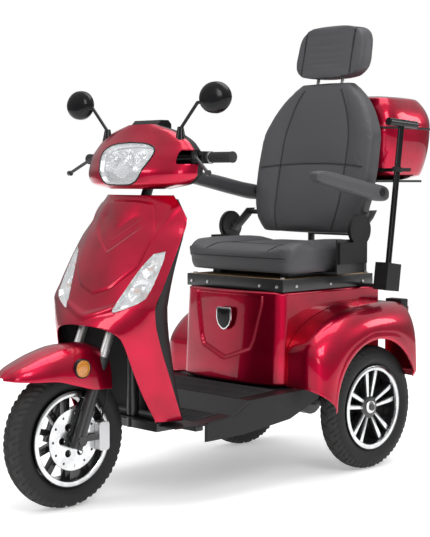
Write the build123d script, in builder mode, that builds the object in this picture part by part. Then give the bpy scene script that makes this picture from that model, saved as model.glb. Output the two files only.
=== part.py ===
from build123d import *
import os
from math import cos, radians, sin, sqrt, tan

# Three-wheeled electric mobility scooter: one steered wheel on a telescopic fork in front, a
# driven live axle with two wheels behind, a captain's seat on the battery tower and a top box.
# Millimetres, +Z up, front of the scooter towards -Y, rider's left towards +X.
# Origin: on the ground, in the centre of the scooter's length and width.

# ---------------------------------------------------------------- driving dimensions
WHEELBASE = 1044.0
FRONT_AXLE_Y = -665.0
REAR_AXLE_Y = FRONT_AXLE_Y + WHEELBASE
TRACK_HALF = 284.0        # centre plane to the middle of a rear tyre
WHEEL_R = 205.0           # 3.00-10 tyre
TYRE_W = 80.0
RIM_R = 140.0             # over the rim flanges
RIM_W = 68.0

RUN_FIT = 0.05            # radial clearance of a shaft in its bearing
SLIDE_FIT = 0.3           # radial clearance of sliding tubes, gap between moving pieces
SEAM = 0.4                # gap between neighbouring body panels
WALL = 3.0                # plastic body panels

# front fork and steering
RAKE = 22.0
FORK_OFFSET = 35.2        # axle ahead of the steering axis, square to it
LEG_X = 64.0
STANCHION_R = 14.0
LEG_R = 19.0
FORK_TRAVEL = 35.0
STEERER_R = 16.0
HEAD_TUBE_WALL = 6.0
CROWN_S = 342.0           # heights along the fork are measured from the axle
CROWN_T = 22.0
HEAD_TUBE_L = 150.0
FRONT_AXLE_R = 8.0
BAR_R = 11.0
BAR_S = 895.0
BAR_HALF = 326.0
GRIP_L = 100.0
GRIP_R = 16.0

# front brake
DISC_R = 90.0
DISC_T = 4.0
DISC_X = 40.0             # inner face of the disc

# floor and frame
RAIL_X = 110.0
RAIL_W = 30.0
RAIL_H = 25.0
RAIL_Z = 203.0
FLOOR_HALF_W = 290.0
FLOOR_T = 4.0

# body over the rear axle
WHEEL_SIDE_GAP = 20.0
BODY_HALF_W = TRACK_HALF - TYRE_W / 2 - WHEEL_SIDE_GAP
FENDER_OUT = TRACK_HALF + 91.0
TOWER_FRONT = -339.0      # from the rear axle to the tower's front corners
TOWER_REAR = 150.0
TOWER_Z0 = 300.0
TOWER_Z1 = 600.0
PIVOT_Y = -250.0          # swingarm pivot ahead of the rear axle
PIVOT_R = 10.0
REAR_TRAVEL = 30.0
SHOCK_ROD_R = 8.0
HUB_PIN_R = 12.0

# seat
FRAME_T = 22.0
DECK_T = 18.0
RAIL_T = 12.0
SEAT_RAIL_X = 150.0
SEAT_HALF_W = 250.0
SEAT_Z1 = 745.0
SEAT_FRONT = -309.0
SEAT_REAR = 25.0
RECLINE_Y = -53.0
RECLINE_Z = 793.0
RECLINE_PIN_R = 8.0
BRACKET_X = 282.0         # inner face of the seat's side brackets
BRACKET_T = 6.0
BACK_LEAN = 12.0
BACK_T = 100.0
ARM_X = 286.0
ARM_W = 54.0
ARM_PIVOT_Y = 46.0
ARM_PIVOT_Z = 915.0
ARM_PIN_R = 8.0

# top box and walking stick
BOX_HALF_W = 200.0
BOX_FRONT = 211.0         # behind the rear axle
BOX_REAR = 512.0
BOX_Z0 = 955.0
BOX_RIM_Z = 1165.0
BOX_TOP_Z = 1250.0
POST_X = 120.0
POST_Y = 186.0
POST_R = 12.0
STICK_X = 330.0
STICK_R = 10.0
STICK_LEAN = 7.8
STICK_FOOT_Z = 600.0

LEAN_S = sin(radians(RAKE))
LEAN_C = cos(radians(RAKE))
DECK_Z = TOWER_Z1 + FRAME_T
RAILS_Z = DECK_Z + DECK_T
CARRIAGE_Z = RAILS_Z + RAIL_T + SLIDE_FIT

os.makedirs("parts", exist_ok=True)


# ---------------------------------------------------------------- helpers
def fy(offset):
    """Row position of a length measured back from the front axle."""
    return FRONT_AXLE_Y + offset


def ry(offset):
    """Row position of a length measured back from the rear axle."""
    return REAR_AXLE_Y + offset


def steer_plane(height, across=0.0, back=0.0):
    """Plane square to the steering axis, at a height along it from the axle."""
    y = FRONT_AXLE_Y + FORK_OFFSET * LEAN_C + height * LEAN_S + back * LEAN_C
    z = WHEEL_R - FORK_OFFSET * LEAN_S + height * LEAN_C - back * LEAN_S
    return Plane(origin=(across, y, z), x_dir=(1, 0, 0), z_dir=(0, LEAN_S, LEAN_C))


def steer_y(z):
    """Row position of the steering axis at a height above the ground."""
    base = steer_plane(0).origin
    return base.Y + (z - base.Z) * tan(radians(RAKE))


def side_plane(x):
    """Plane of a side view at x, with its own x along the row's +Y and its y up."""
    return Plane(origin=(x, 0, 0), x_dir=(0, 1, 0), z_dir=(1, 0, 0))


def save(part, name):
    """Label a finished piece and write its STEP file."""
    part.label = name
    export_step(part, f"parts/{name}.step")


def rod(start, end, radius, bore=0.0):
    """A straight round bar, or a tube when it has a bore."""
    start, end = Vector(*start), Vector(*end)
    with BuildPart() as bar:
        with BuildSketch(Plane(origin=start, z_dir=(end - start).normalized())):
            Circle(radius)
            if bore:
                Circle(bore, mode=Mode.SUBTRACT)
        extrude(amount=(end - start).length)
    return bar.part


def block(x0, x1, y0, y1, z0, z1):
    """A box between two corners."""
    size = (x1 - x0, y1 - y0, z1 - z0)
    with BuildPart(Plane(origin=((x0 + x1) / 2, (y0 + y1) / 2, (z0 + z1) / 2))) as box:
        Box(*size)
    return box.part


def bow_face(z, half_width, edge_y, bow_y, overrun=0.0):
    """Half an ellipse at height z, flat at edge_y and round towards bow_y."""
    start = 180 if bow_y < edge_y else 0
    flat_y = edge_y + (overrun if bow_y < edge_y else -overrun)
    with BuildSketch(Plane.XY.offset(z)) as face:
        with BuildLine():
            arc = EllipticalCenterArc((0, edge_y), half_width, abs(bow_y - edge_y), start, arc_size=180)
            if overrun:
                side = half_width if start else -half_width
                Polyline(arc @ 1, (side, flat_y), (-side, flat_y), arc @ 0)
            else:
                Line(arc @ 1, arc @ 0)
        make_face()
    return face.sketch


def shell_faces(stations, grow, overrun=0.0):
    """Bow faces of a list of (z, half width, edge, bow) stations, grown by a wall."""
    faces = []
    for z, half_width, edge_y, bow_y in stations:
        outward = -grow if bow_y < edge_y else grow
        faces.append(bow_face(z, half_width + grow, edge_y, bow_y + outward, overrun))
    return faces


def stretched(stations, down, up):
    """The same stations with the first one lowered and the last one raised."""
    first, last = stations[0], stations[-1]
    return [(first[0] - down, *first[1:]), *stations[1:-1], (last[0] + up, *last[1:])]


def side_outline(x, points):
    """A closed outline in the side view at x, through (row y, z) points."""
    with BuildSketch(side_plane(x)) as outline:
        with BuildLine():
            Polyline(*points, close=True)
        make_face()
    return outline.sketch


def mirrored(part):
    """The same piece on the rider's other side."""
    return mirror(part, about=Plane.YZ)


# ---------------------------------------------------------------- wheels
def tyre(x, y):
    """A round-shouldered tyre whose beads sit on the rim."""
    half = TYRE_W / 2
    seat = RIM_R - 12
    with BuildPart() as ring:
        with BuildSketch(Plane(origin=(x, y, WHEEL_R), x_dir=(1, 0, 0), z_dir=(0, -1, 0))):
            with BuildLine():
                tread = ThreePointArc((-half + 6, WHEEL_R - 22), (0, WHEEL_R), (half - 6, WHEEL_R - 22))
                wall = ThreePointArc(tread @ 1, (half, RIM_R + 24), (half - 9, RIM_R + 1))
                Polyline(wall @ 1, (RIM_W / 2 - 5, RIM_R + 1), (RIM_W / 2 - 5, seat),
                         (-RIM_W / 2 + 5, seat), (-RIM_W / 2 + 5, RIM_R + 1), (-half + 9, RIM_R + 1))
                ThreePointArc((-half + 9, RIM_R + 1), (-half, RIM_R + 24), tread @ 0)
            make_face()
        revolve(axis=Axis((x, y, WHEEL_R), (1, 0, 0)))
    return ring.part


def rim(x, y, bore, spokes, hub_in, hub_out, side):
    """A cast rim with barrel, flanges, straight spokes and hub; side +1 shows its face to +X."""
    seat = RIM_R - 12
    half = RIM_W / 2
    axis = Axis((x, y, WHEEL_R), (1, 0, 0))
    section = Plane(origin=(x, y, WHEEL_R), x_dir=(side, 0, 0), z_dir=(0, -side, 0))
    with BuildPart() as wheel:
        with BuildSketch(section):
            with BuildLine():
                Polyline((-half, RIM_R), (-half + 5, RIM_R), (-half + 5, seat), (half - 5, seat),
                         (half - 5, RIM_R), (half, RIM_R), (half, seat - 6), (-half, seat - 6), close=True)
            make_face()
        revolve(axis=axis)
        with BuildSketch(section):
            with Locations(((hub_out - hub_in) / 2, (34 + bore) / 2)):
                Rectangle(hub_out + hub_in, 34 - bore)
        revolve(axis=axis)
        face = Plane(origin=(x + side * 2, y, WHEEL_R), x_dir=(0, 1, 0), z_dir=(side, 0, 0))
        with BuildSketch(face):
            for index in range(spokes):
                with Locations(Rotation(0, 0, 360 / spokes * index)):
                    with Locations((76, 0)):
                        Rectangle(96, 15)
        extrude(amount=12)
    return wheel.part


front_axle = (0, FRONT_AXLE_Y, WHEEL_R)
with BuildPart() as front_tyre:
    add(tyre(0, FRONT_AXLE_Y))
save(front_tyre.part, "front_tyre")

with BuildPart() as front_rim:
    add(rim(0, FRONT_AXLE_Y, FRONT_AXLE_R + RUN_FIT, 10, DISC_X - SLIDE_FIT, DISC_X, -1))
save(front_rim.part, "front_rim")

with BuildPart() as brake_disc:
    with BuildSketch(Plane(origin=(DISC_X, FRONT_AXLE_Y, WHEEL_R), x_dir=(0, 1, 0), z_dir=(1, 0, 0))):
        Circle(DISC_R)
        Circle(20, mode=Mode.SUBTRACT)
        with PolarLocations(DISC_R - 14, 12):
            Circle(4, mode=Mode.SUBTRACT)
        with PolarLocations(44, 6):
            Circle(11, mode=Mode.SUBTRACT)
    extrude(amount=DISC_T)
save(brake_disc.part, "brake_disc")

for side, suffix in ((1, "left"), (-1, "right")):
    with BuildPart() as rear_tyre:
        add(tyre(side * TRACK_HALF, REAR_AXLE_Y))
    save(rear_tyre.part, f"rear_tyre_{suffix}")
    with BuildPart() as rear_rim:
        add(rim(side * TRACK_HALF, REAR_AXLE_Y, HUB_PIN_R + RUN_FIT, 10, 34, 30, side))
    save(rear_rim.part, f"rear_rim_{suffix}")


# ---------------------------------------------------------------- front fork, lower
LEG_TOP = 250.0
LEG_FOOT = -26.0
LEG_BORE_S = 50.0
STANCHION_S = LEG_BORE_S + FORK_TRAVEL + 8
with BuildPart() as fork_legs:
    for side in (-1, 1):
        with BuildSketch(steer_plane(LEG_FOOT, side * LEG_X, -FORK_OFFSET)):
            Circle(LEG_R)
        extrude(amount=LEG_TOP - LEG_FOOT)
        add(rod((side * (LEG_X - 22), *front_axle[1:]), (side * (LEG_X + 24), *front_axle[1:]), 14))
    for side in (-1, 1):
        with BuildSketch(steer_plane(LEG_BORE_S, side * LEG_X, -FORK_OFFSET)):
            Circle(STANCHION_R + SLIDE_FIT)
        extrude(amount=LEG_TOP - LEG_BORE_S + 1, mode=Mode.SUBTRACT)
    add(rod((-LEG_X, *front_axle[1:]), (LEG_X, *front_axle[1:]), FRONT_AXLE_R))
    caliper_y = FRONT_AXLE_Y + 72
    add(block(DISC_X + 9, LEG_X, FRONT_AXLE_Y + 8, caliper_y + 6, WHEEL_R - 8, WHEEL_R + 8))
save(fork_legs.part, "fork_legs")

with BuildPart() as brake_caliper:
    add(block(DISC_X - 12, DISC_X + 26, caliper_y + 6, caliper_y + 44, WHEEL_R - 42, WHEEL_R + 42))
    fillet(brake_caliper.edges().filter_by(Axis.X), 9)
    with BuildSketch(Plane(origin=(DISC_X - 1, FRONT_AXLE_Y, WHEEL_R), x_dir=(0, 1, 0), z_dir=(1, 0, 0))):
        Circle(DISC_R + 2)
    extrude(amount=DISC_T + 2, mode=Mode.SUBTRACT)
save(brake_caliper.part, "brake_caliper")

HOSE_R = 3.0
HOSE_ROUTE = ((50, 97, 42.9), (52, 106, 78), (59, 113, 118), (65, 110, 157), (66, 105, 192))
hose_points = [Vector(x, FRONT_AXLE_Y + y, WHEEL_R + z) for x, y, z in HOSE_ROUTE]
hose_radii = []
for before, here, after in zip(hose_points, hose_points[1:], hose_points[2:]):
    run = min((here - before).length, (after - here).length)
    half_turn = radians((here - before).get_angle(after - here)) / 2
    hose_radii.append(0.45 * run / tan(half_turn))
print("brake hose radii", [round(radius) for radius in hose_radii])
with BuildPart() as brake_hose:
    with BuildLine():
        FilletPolyline(*hose_points, radius=hose_radii)
    with BuildSketch(Plane(origin=hose_points[0], z_dir=(hose_points[1] - hose_points[0]).normalized())):
        Circle(HOSE_R)
    sweep()
save(brake_hose.part, "brake_hose")

# (back from the front axle, half width, lower edge, ridge)
FENDER_STATIONS = (
    (-226, 14, 396, 407), (-205, 46, 393, 424), (-157, 70, 390, 444), (-90, 82, 386, 467),
    (-20, 87, 368, 481), (50, 88, 350, 481), (112, 84, 346, 466),
)


def fender_faces(wall, drop):
    """Cross-sections of the front fender's arch, shrunk by a wall."""
    faces = []
    for back, half_width, low, ridge in FENDER_STATIONS:
        plane = Plane(origin=(0, fy(back), low), x_dir=(1, 0, 0), z_dir=(0, -1, 0))
        with BuildSketch(plane) as face:
            with BuildLine():
                arc = EllipticalCenterArc((0, 0), half_width - wall, ridge - low - wall, 0, arc_size=180)
                Polyline(arc @ 1, (-half_width + wall, -drop), (half_width - wall, -drop), arc @ 0)
            make_face()
        faces.append(face.sketch)
    return faces


outer_faces = fender_faces(0, 1)
inner_faces = fender_faces(WALL, 4)
with BuildPart() as front_fender:
    loft(outer_faces, ruled=True)
    loft(inner_faces, ruled=True, mode=Mode.SUBTRACT)
    for side in (-1, 1):
        with BuildSketch(steer_plane(LEG_TOP - 150, side * LEG_X, -FORK_OFFSET)):
            Circle(LEG_R + SLIDE_FIT)
        extrude(amount=300, mode=Mode.SUBTRACT)
    for side in (-1, 1):
        lug = block(min(side * (LEG_X - 8), side * (LEG_X + 8)), max(side * (LEG_X - 8), side * (LEG_X + 8)),
                    fy(48), fy(66), 430, 462)
        add(lug & loft(outer_faces, ruled=True, mode=Mode.PRIVATE))
save(front_fender.part, "front_fender")

REFLECTOR_Z = 416.0
REFLECTOR_R = 28.0
with BuildPart() as fender_reflectors:
    for side in (-1, 1):
        add(rod((side * 82.5, fy(-1), REFLECTOR_Z), (side * 94, fy(-1), REFLECTOR_Z), REFLECTOR_R))
    add(loft(outer_faces, ruled=True, mode=Mode.PRIVATE), mode=Mode.SUBTRACT)
save(fender_reflectors.part, "fender_reflectors")


# ---------------------------------------------------------------- steering
STANCHION_L = CROWN_S + CROWN_T - STANCHION_S
with BuildPart() as fork_stanchions:
    for side in (-1, 1):
        with BuildSketch(steer_plane(STANCHION_S, side * LEG_X, -FORK_OFFSET)):
            Circle(STANCHION_R)
            Circle(STANCHION_R - 3, mode=Mode.SUBTRACT)
        extrude(amount=STANCHION_L)
save(fork_stanchions.part, "fork_stanchions")

with BuildPart() as fork_crown:
    with BuildSketch(steer_plane(CROWN_S)):
        with Locations((0, -FORK_OFFSET)):
            SlotCenterToCenter(2 * LEG_X, 2 * (STANCHION_R + 5))
        with Locations((0, -FORK_OFFSET / 2)):
            Rectangle(2 * STEERER_R + 16, FORK_OFFSET + 6)
        Circle(STEERER_R + 10)
        with Locations((-LEG_X, -FORK_OFFSET), (LEG_X, -FORK_OFFSET)):
            Circle(STANCHION_R, mode=Mode.SUBTRACT)
        Circle(STEERER_R, mode=Mode.SUBTRACT)
    extrude(amount=CROWN_T)
save(fork_crown.part, "fork_crown")

bar_centre = steer_plane(BAR_S).origin
with BuildPart() as handlebar:
    with BuildSketch(steer_plane(CROWN_S)):
        Circle(STEERER_R)
    extrude(amount=BAR_S - CROWN_S)
    add(rod((-BAR_HALF, bar_centre.Y, bar_centre.Z), (BAR_HALF, bar_centre.Y, bar_centre.Z), BAR_R))
    with BuildSketch(steer_plane(BAR_S - 30)):
        Rectangle(60, 44)
    extrude(amount=48)
save(handlebar.part, "handlebar")

# cowl stations: (z, half width, edge, bow); edge and bow are back from the front axle
COWL_STATIONS = (
    (928, 120, 300, 232), (945, 205, 310, 209), (975, 230, 318, 209), (1015, 230, 320, 226),
    (1062, 200, 318, 256), (1098, 140, 312, 278), (1122, 60, 308, 290),
)
COWL_REAR_BOW = (345, 385, 410, 418, 410, 385, 345)
cowl_front_line = [(z, w, fy(edge), fy(bow)) for z, w, edge, bow in COWL_STATIONS]
cowl_rear_line = [(z, w, fy(edge) + SEAM, fy(rear))
                  for (z, w, edge, bow), rear in zip(COWL_STATIONS, COWL_REAR_BOW)]
cowl_front_outer = shell_faces(cowl_front_line, 0)
cowl_front_inner = shell_faces(cowl_front_line, -WALL, 1)[1:-1]
cowl_rear_outer = shell_faces(cowl_rear_line, 0)
cowl_rear_inner = shell_faces(cowl_rear_line, -WALL, 1)[1:-1]

# headlamp outline seen from the front: (x, z) from the left half's foot to its top
LAMP_POINTS = ((0, 940), (60, 944), (84, 962), (112, 1010), (118, 1034), (104, 1052), (60, 1066), (0, 1068))
LENS_T = 4.0
POD_X = 200.0
POD_NOTCH = (POD_X - 2, 262, bar_centre.Y - 78, bar_centre.Y + 22, bar_centre.Z - 20, bar_centre.Z + 20)


def lamp_prism(grow):
    """A prism along Y with the headlamp's outline, grown all round."""
    with BuildPart() as prism:
        with BuildSketch(Plane.XZ.offset(-fy(330))):
            with BuildLine():
                Polyline(*LAMP_POINTS)
                Polyline(*[(-x, z) for x, z in LAMP_POINTS])
            make_face()
            if grow:
                offset(amount=grow)
        extrude(amount=140)
    return prism.part


with BuildPart() as cowl_front:
    loft(cowl_front_outer, ruled=True)
    loft(cowl_front_inner, ruled=True, mode=Mode.SUBTRACT)
    add(lamp_prism(SEAM), mode=Mode.SUBTRACT)
    add(block(-24, 24, fy(200), fy(400), 900, 960), mode=Mode.SUBTRACT)
    add(block(*POD_NOTCH), mode=Mode.SUBTRACT)
    add(mirrored(block(*POD_NOTCH)), mode=Mode.SUBTRACT)
save(cowl_front.part, "cowl_front")

lens_core = shell_faces(cowl_front_line, -LENS_T, 1)
with BuildPart() as headlight_lens:
    loft(cowl_front_outer, ruled=True)
    loft(lens_core, ruled=True, mode=Mode.SUBTRACT)
    add(lamp_prism(0), mode=Mode.INTERSECT)
save(headlight_lens.part, "headlight_lens")

with BuildPart() as cowl_rear:
    loft(cowl_rear_outer, ruled=True)
    loft(cowl_rear_inner, ruled=True, mode=Mode.SUBTRACT)
    add(rod((-300, bar_centre.Y, bar_centre.Z), (300, bar_centre.Y, bar_centre.Z), BAR_R + SEAM),
        mode=Mode.SUBTRACT)
    with BuildSketch(steer_plane(BAR_S - 150)):
        Circle(STEERER_R + 12)
    extrude(amount=100, mode=Mode.SUBTRACT)
    add(block(*POD_NOTCH), mode=Mode.SUBTRACT)
    add(mirrored(block(*POD_NOTCH)), mode=Mode.SUBTRACT)
save(cowl_rear.part, "cowl_rear")

with BuildPart() as instrument_panel:
    add(block(-60, 60, fy(318), fy(372), 1085, 1136))
    chamfer(instrument_panel.edges().filter_by(Axis.X).sort_by(Axis.Z)[-2:], 12)
    add(loft(cowl_rear_outer, ruled=True, mode=Mode.PRIVATE), mode=Mode.SUBTRACT)
    add(loft(cowl_front_outer, ruled=True, mode=Mode.PRIVATE), mode=Mode.SUBTRACT)
save(instrument_panel.part.solids().sort_by(SortBy.VOLUME)[-1], "instrument_panel")

POD_W = BAR_HALF - GRIP_L - POD_X - SEAM
with BuildPart() as control_pods:
    for side in (-1, 1):
        x0, x1 = sorted((side * POD_X, side * (POD_X + POD_W)))
        add(block(x0, x1, bar_centre.Y - 40, bar_centre.Y + 18, bar_centre.Z - 18, bar_centre.Z + 18))
        add(rod((side * (POD_X + 12), bar_centre.Y - 46, bar_centre.Z - 18),
                (side * (POD_X + 12), bar_centre.Y - 46, bar_centre.Z + 18), 11))
    add(rod((-BAR_HALF, bar_centre.Y, bar_centre.Z), (BAR_HALF, bar_centre.Y, bar_centre.Z), BAR_R),
        mode=Mode.SUBTRACT)
    for side in (-1, 1):
        add(block(min(side * POD_X, side * 260), max(side * POD_X, side * 260), bar_centre.Y - 90,
                  bar_centre.Y - 30, bar_centre.Z - 7, bar_centre.Z + 7), mode=Mode.SUBTRACT)

with BuildPart() as left_grip:
    add(rod((BAR_HALF - GRIP_L, bar_centre.Y, bar_centre.Z), (BAR_HALF + 3, bar_centre.Y, bar_centre.Z), GRIP_R))
    add(rod((0, bar_centre.Y, bar_centre.Z), (BAR_HALF, bar_centre.Y, bar_centre.Z), BAR_R),
        mode=Mode.SUBTRACT)
save(left_grip.part, "left_grip")

with BuildPart() as throttle_grip:
    add(rod((-BAR_HALF + GRIP_L, bar_centre.Y, bar_centre.Z),
            (-BAR_HALF - 3, bar_centre.Y, bar_centre.Z), GRIP_R))
    add(rod((0, bar_centre.Y, bar_centre.Z), (-BAR_HALF - SLIDE_FIT, bar_centre.Y, bar_centre.Z),
            BAR_R + RUN_FIT), mode=Mode.SUBTRACT)
save(throttle_grip.part, "throttle_grip")

LEVER_X = POD_X + 12
LEVER_Y = bar_centre.Y - 46
LEVER_PIN_R = 4.0
LEVER_TIP = (314, -90, -46)       # from the handlebar's centre
knee = (236, bar_centre.Y - 64, bar_centre.Z)
tip = (LEVER_TIP[0], bar_centre.Y + LEVER_TIP[1], bar_centre.Z + LEVER_TIP[2])
with BuildPart() as brake_lever:
    add(rod((LEVER_X, LEVER_Y, bar_centre.Z - 6), (LEVER_X, LEVER_Y, bar_centre.Z + 6), 10))
    add(rod((LEVER_X + 2, LEVER_Y - 2, bar_centre.Z), knee, 5.5))
    add(rod((knee[0], knee[1], knee[2] - 6.5), (knee[0], knee[1], knee[2] + 6.5), 7))
    add(rod(knee, tip, 5))
    add(rod((tip[0] - 6, tip[1], tip[2]), (tip[0] + 6, tip[1], tip[2]), 8))
    with Locations((LEVER_X, LEVER_Y, bar_centre.Z)):
        Cylinder(LEVER_PIN_R + RUN_FIT, 30, mode=Mode.SUBTRACT)
save(brake_lever.part, "brake_lever_left")
save(mirrored(brake_lever.part), "brake_lever_right")

BUTTON_R = 6.0
with BuildPart() as control_pods_bored:
    add(control_pods.part)
    add(rod((LEVER_X, bar_centre.Y + 12, bar_centre.Z), (LEVER_X, bar_centre.Y + 19, bar_centre.Z),
            BUTTON_R + SLIDE_FIT), mode=Mode.SUBTRACT)
    for side in (-1, 1):
        add(rod((side * LEVER_X, LEVER_Y, bar_centre.Z - 12), (side * LEVER_X, LEVER_Y, bar_centre.Z + 12),
                LEVER_PIN_R))
save(control_pods_bored.part, "control_pods")

with BuildPart() as horn_button:
    add(rod((LEVER_X, bar_centre.Y + 14.3, bar_centre.Z), (LEVER_X, bar_centre.Y + 21.5, bar_centre.Z), BUTTON_R))
save(horn_button.part, "horn_button")

MIRROR_X = 306.0
MIRROR_Z = 1192.0
MIRROR_Y = fy(310)
MIRROR_PIVOT_Z = 1180.0
MIRROR_PIN_R = 5.0
BOOT_X = 166.0
with BuildPart() as mirror_arms:
    for side in (-1, 1):
        boot = (side * BOOT_X, MIRROR_Y)
        with BuildSketch(Plane(origin=(*boot, 1050))):
            Circle(21)
        with BuildSketch(Plane(origin=(*boot, 1112))):
            Circle(9)
        loft()
        elbow = (side * 238, MIRROR_Y, MIRROR_PIVOT_Z)
        add(rod((*boot, 1106), elbow, 5))
        with Locations(elbow):
            Sphere(MIRROR_PIN_R)
        add(rod(elbow, (side * (MIRROR_X - 16), MIRROR_Y, MIRROR_PIVOT_Z), MIRROR_PIN_R))
    add(loft(cowl_rear_outer, ruled=True, mode=Mode.PRIVATE), mode=Mode.SUBTRACT)
    add(loft(cowl_front_outer, ruled=True, mode=Mode.PRIVATE), mode=Mode.SUBTRACT)
    add(block(-260, 260, fy(200), fy(430), 900, 1066), mode=Mode.SUBTRACT)
save(mirror_arms.part, "mirror_arms")

for side, suffix in ((1, "left"), (-1, "right")):
    with BuildPart() as mirror_head:
        with BuildSketch(Plane.XZ.offset(-MIRROR_Y - 13)):
            with Locations((side * MIRROR_X, MIRROR_Z)):
                Ellipse(61, 46)
        extrude(amount=26)
        fillet(mirror_head.edges().sort_by(Axis.Y)[0], 9)
        add(rod((side * 230, MIRROR_Y, MIRROR_PIVOT_Z), (side * (MIRROR_X - 15), MIRROR_Y, MIRROR_PIVOT_Z),
                MIRROR_PIN_R + RUN_FIT), mode=Mode.SUBTRACT)
    save(mirror_head.part, f"mirror_head_{suffix}")


# ---------------------------------------------------------------- frame
RAIL_FRONT = 265.0        # back from the front axle, centre of the down tube
TUBE_R = 19.0
RAIL_TOP = RAIL_Z + RAIL_H
HEAD_S = CROWN_S + CROWN_T + 3
STAY_Z = 606.0
POST_FRAME_X = 170.0
POST_FRAME_Y = (-290.0, 95.0)
SHOCK_X = 150.0
SHOCK_Y = 12.0            # behind the rear axle
SHOCK_TOP_Z = 470.0
EYE_W = 16.0              # the shock's lower eye and the pin through it
EYE_PIN_R = 5.0
EYE_R = 11.0
shock_low_z = WHEEL_R + 34

# apron stations: (z, half width, edge, bow), edge and bow back from the front axle
APRON_STATIONS = (
    (250, 224, 262, 60), (369, 228, 213, 55), (497, 231, 163, 55), (542, 232, 150, 68),
    (584, 233, 146, 90), (641, 233, 174, 118), (697, 232, 205, 145), (781, 225, 255, 185),
    (842, 208, 294, 215), (910, 150, 298, 246),
)
APRON_TOP = 905.0         # the turning cowl clears both of these edges
SHIELD_TOP = 898.0
SHIELD_BOW = (300, 300, 300, 300, 300, 300, 300, 312, 332, 356)
apron_line = [(z, w, fy(edge), fy(bow)) for z, w, edge, bow in APRON_STATIONS]
shield_line = [(z, w - 1, fy(edge) + SEAM, fy(rear))
               for (z, w, edge, bow), rear in zip(APRON_STATIONS, SHIELD_BOW)]

# the stay's ends reach the inside of the legshield between two of its stations
low_station, high_station = shield_line[4], shield_line[5]
share = (STAY_Z - 8 - low_station[0]) / (high_station[0] - low_station[0])
stay_edge = low_station[2] + share * (high_station[2] - low_station[2])
stay_depth = low_station[3] - WALL - stay_edge
stay_y = steer_y(STAY_Z)
stay_half = (low_station[1] - WALL) * sqrt(1 - ((stay_y + 8 - stay_edge) / stay_depth) ** 2) - SEAM

with BuildPart() as main_frame:
    with BuildSketch(steer_plane(HEAD_S)):
        Circle(STEERER_R + RUN_FIT + HEAD_TUBE_WALL)
    extrude(amount=HEAD_TUBE_L)
    knee = (0, fy(RAIL_FRONT), 490)
    head_low = steer_plane(HEAD_S + 96, 0, STEERER_R).origin
    add(rod((0, head_low.Y, head_low.Z), knee, TUBE_R))
    with Locations(knee):
        Sphere(TUBE_R)
    add(rod(knee, (0, fy(RAIL_FRONT), RAIL_Z), TUBE_R))
    add(block(-stay_half, stay_half, stay_y - 8, stay_y + 8, STAY_Z - 8, STAY_Z + 8))
    add(block(-RAIL_X - RAIL_W / 2, RAIL_X + RAIL_W / 2, fy(RAIL_FRONT) - 15, fy(RAIL_FRONT) + 15,
              RAIL_Z, RAIL_TOP))
    for side in (-1, 1):
        x0, x1 = sorted((side * (RAIL_X - RAIL_W / 2), side * (RAIL_X + RAIL_W / 2)))
        add(block(x0, x1, fy(RAIL_FRONT), ry(-300), RAIL_Z, RAIL_TOP))
        add(block(x0, x1, ry(-310), ry(-285), RAIL_Z, 300))
        add(block(x0, x1, ry(-310), ry(150), 275, 300))
        add(block(x0, x1, ry(PIVOT_Y - 14), ry(PIVOT_Y + 14), WHEEL_R - 5, 300))
        for post in POST_FRAME_Y:
            px0, px1 = sorted((side * (POST_FRAME_X - 12), side * (POST_FRAME_X + 12)))
            add(block(px0, px1, ry(post - 12), ry(post + 12), 275, TOWER_Z1))
    for post in (*POST_FRAME_Y, 138.0):
        add(block(-POST_FRAME_X - 12, POST_FRAME_X + 12, ry(post - 12), ry(post + 12), 275, 300))
    add(block(-POST_FRAME_X, POST_FRAME_X, ry(SHOCK_Y - 14), ry(SHOCK_Y + 14), SHOCK_TOP_Z, SHOCK_TOP_Z + 24))
    for side in (-1, 1):
        x0, x1 = sorted((side * (POST_FRAME_X - 12), side * (POST_FRAME_X + 12)))
        add(block(x0, x1, ry(SHOCK_Y - 14), ry(POST_FRAME_Y[1]), SHOCK_TOP_Z, SHOCK_TOP_Z + 24))
        add(block(min(side * 60, side * 200), max(side * 60, side * 200), fy(340), fy(370), RAIL_Z, RAIL_TOP))
    with BuildSketch(steer_plane(HEAD_S - 1)):
        Circle(STEERER_R + RUN_FIT)
    extrude(amount=HEAD_TUBE_L + 30, mode=Mode.SUBTRACT)
    for side in (-1, 1):
        add(rod((side * 60, ry(PIVOT_Y), WHEEL_R + 12), (side * 160, ry(PIVOT_Y), WHEEL_R + 12),
                PIVOT_R + RUN_FIT), mode=Mode.SUBTRACT)
save(main_frame.part, "main_frame")

# ---------------------------------------------------------------- apron and legshield
ARCH_POINTS = ((0, 529), (70, 526), (120, 515), (147, 497), (162, 439), (171, 378), (186, 275), (190, 200))


def arch_prism(depth):
    """A prism along Y with the front wheel arch's outline."""
    with BuildPart() as prism:
        with BuildSketch(Plane.XZ.offset(-fy(0))):
            with BuildLine():
                Polyline(*ARCH_POINTS, *[(-x, z) for x, z in reversed(ARCH_POINTS[1:])], close=True)
            make_face()
        extrude(amount=-depth)
    return prism.part


with BuildPart() as apron:
    loft(shell_faces(apron_line, 0), ruled=True)
    loft(shell_faces(stretched(apron_line, 2, -WALL), -WALL, 1), ruled=True, mode=Mode.SUBTRACT)
    add(arch_prism(400), mode=Mode.SUBTRACT)
    add(block(-300, 300, fy(100), fy(500), APRON_TOP, 930), mode=Mode.SUBTRACT)
save(apron.part, "apron")

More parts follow.
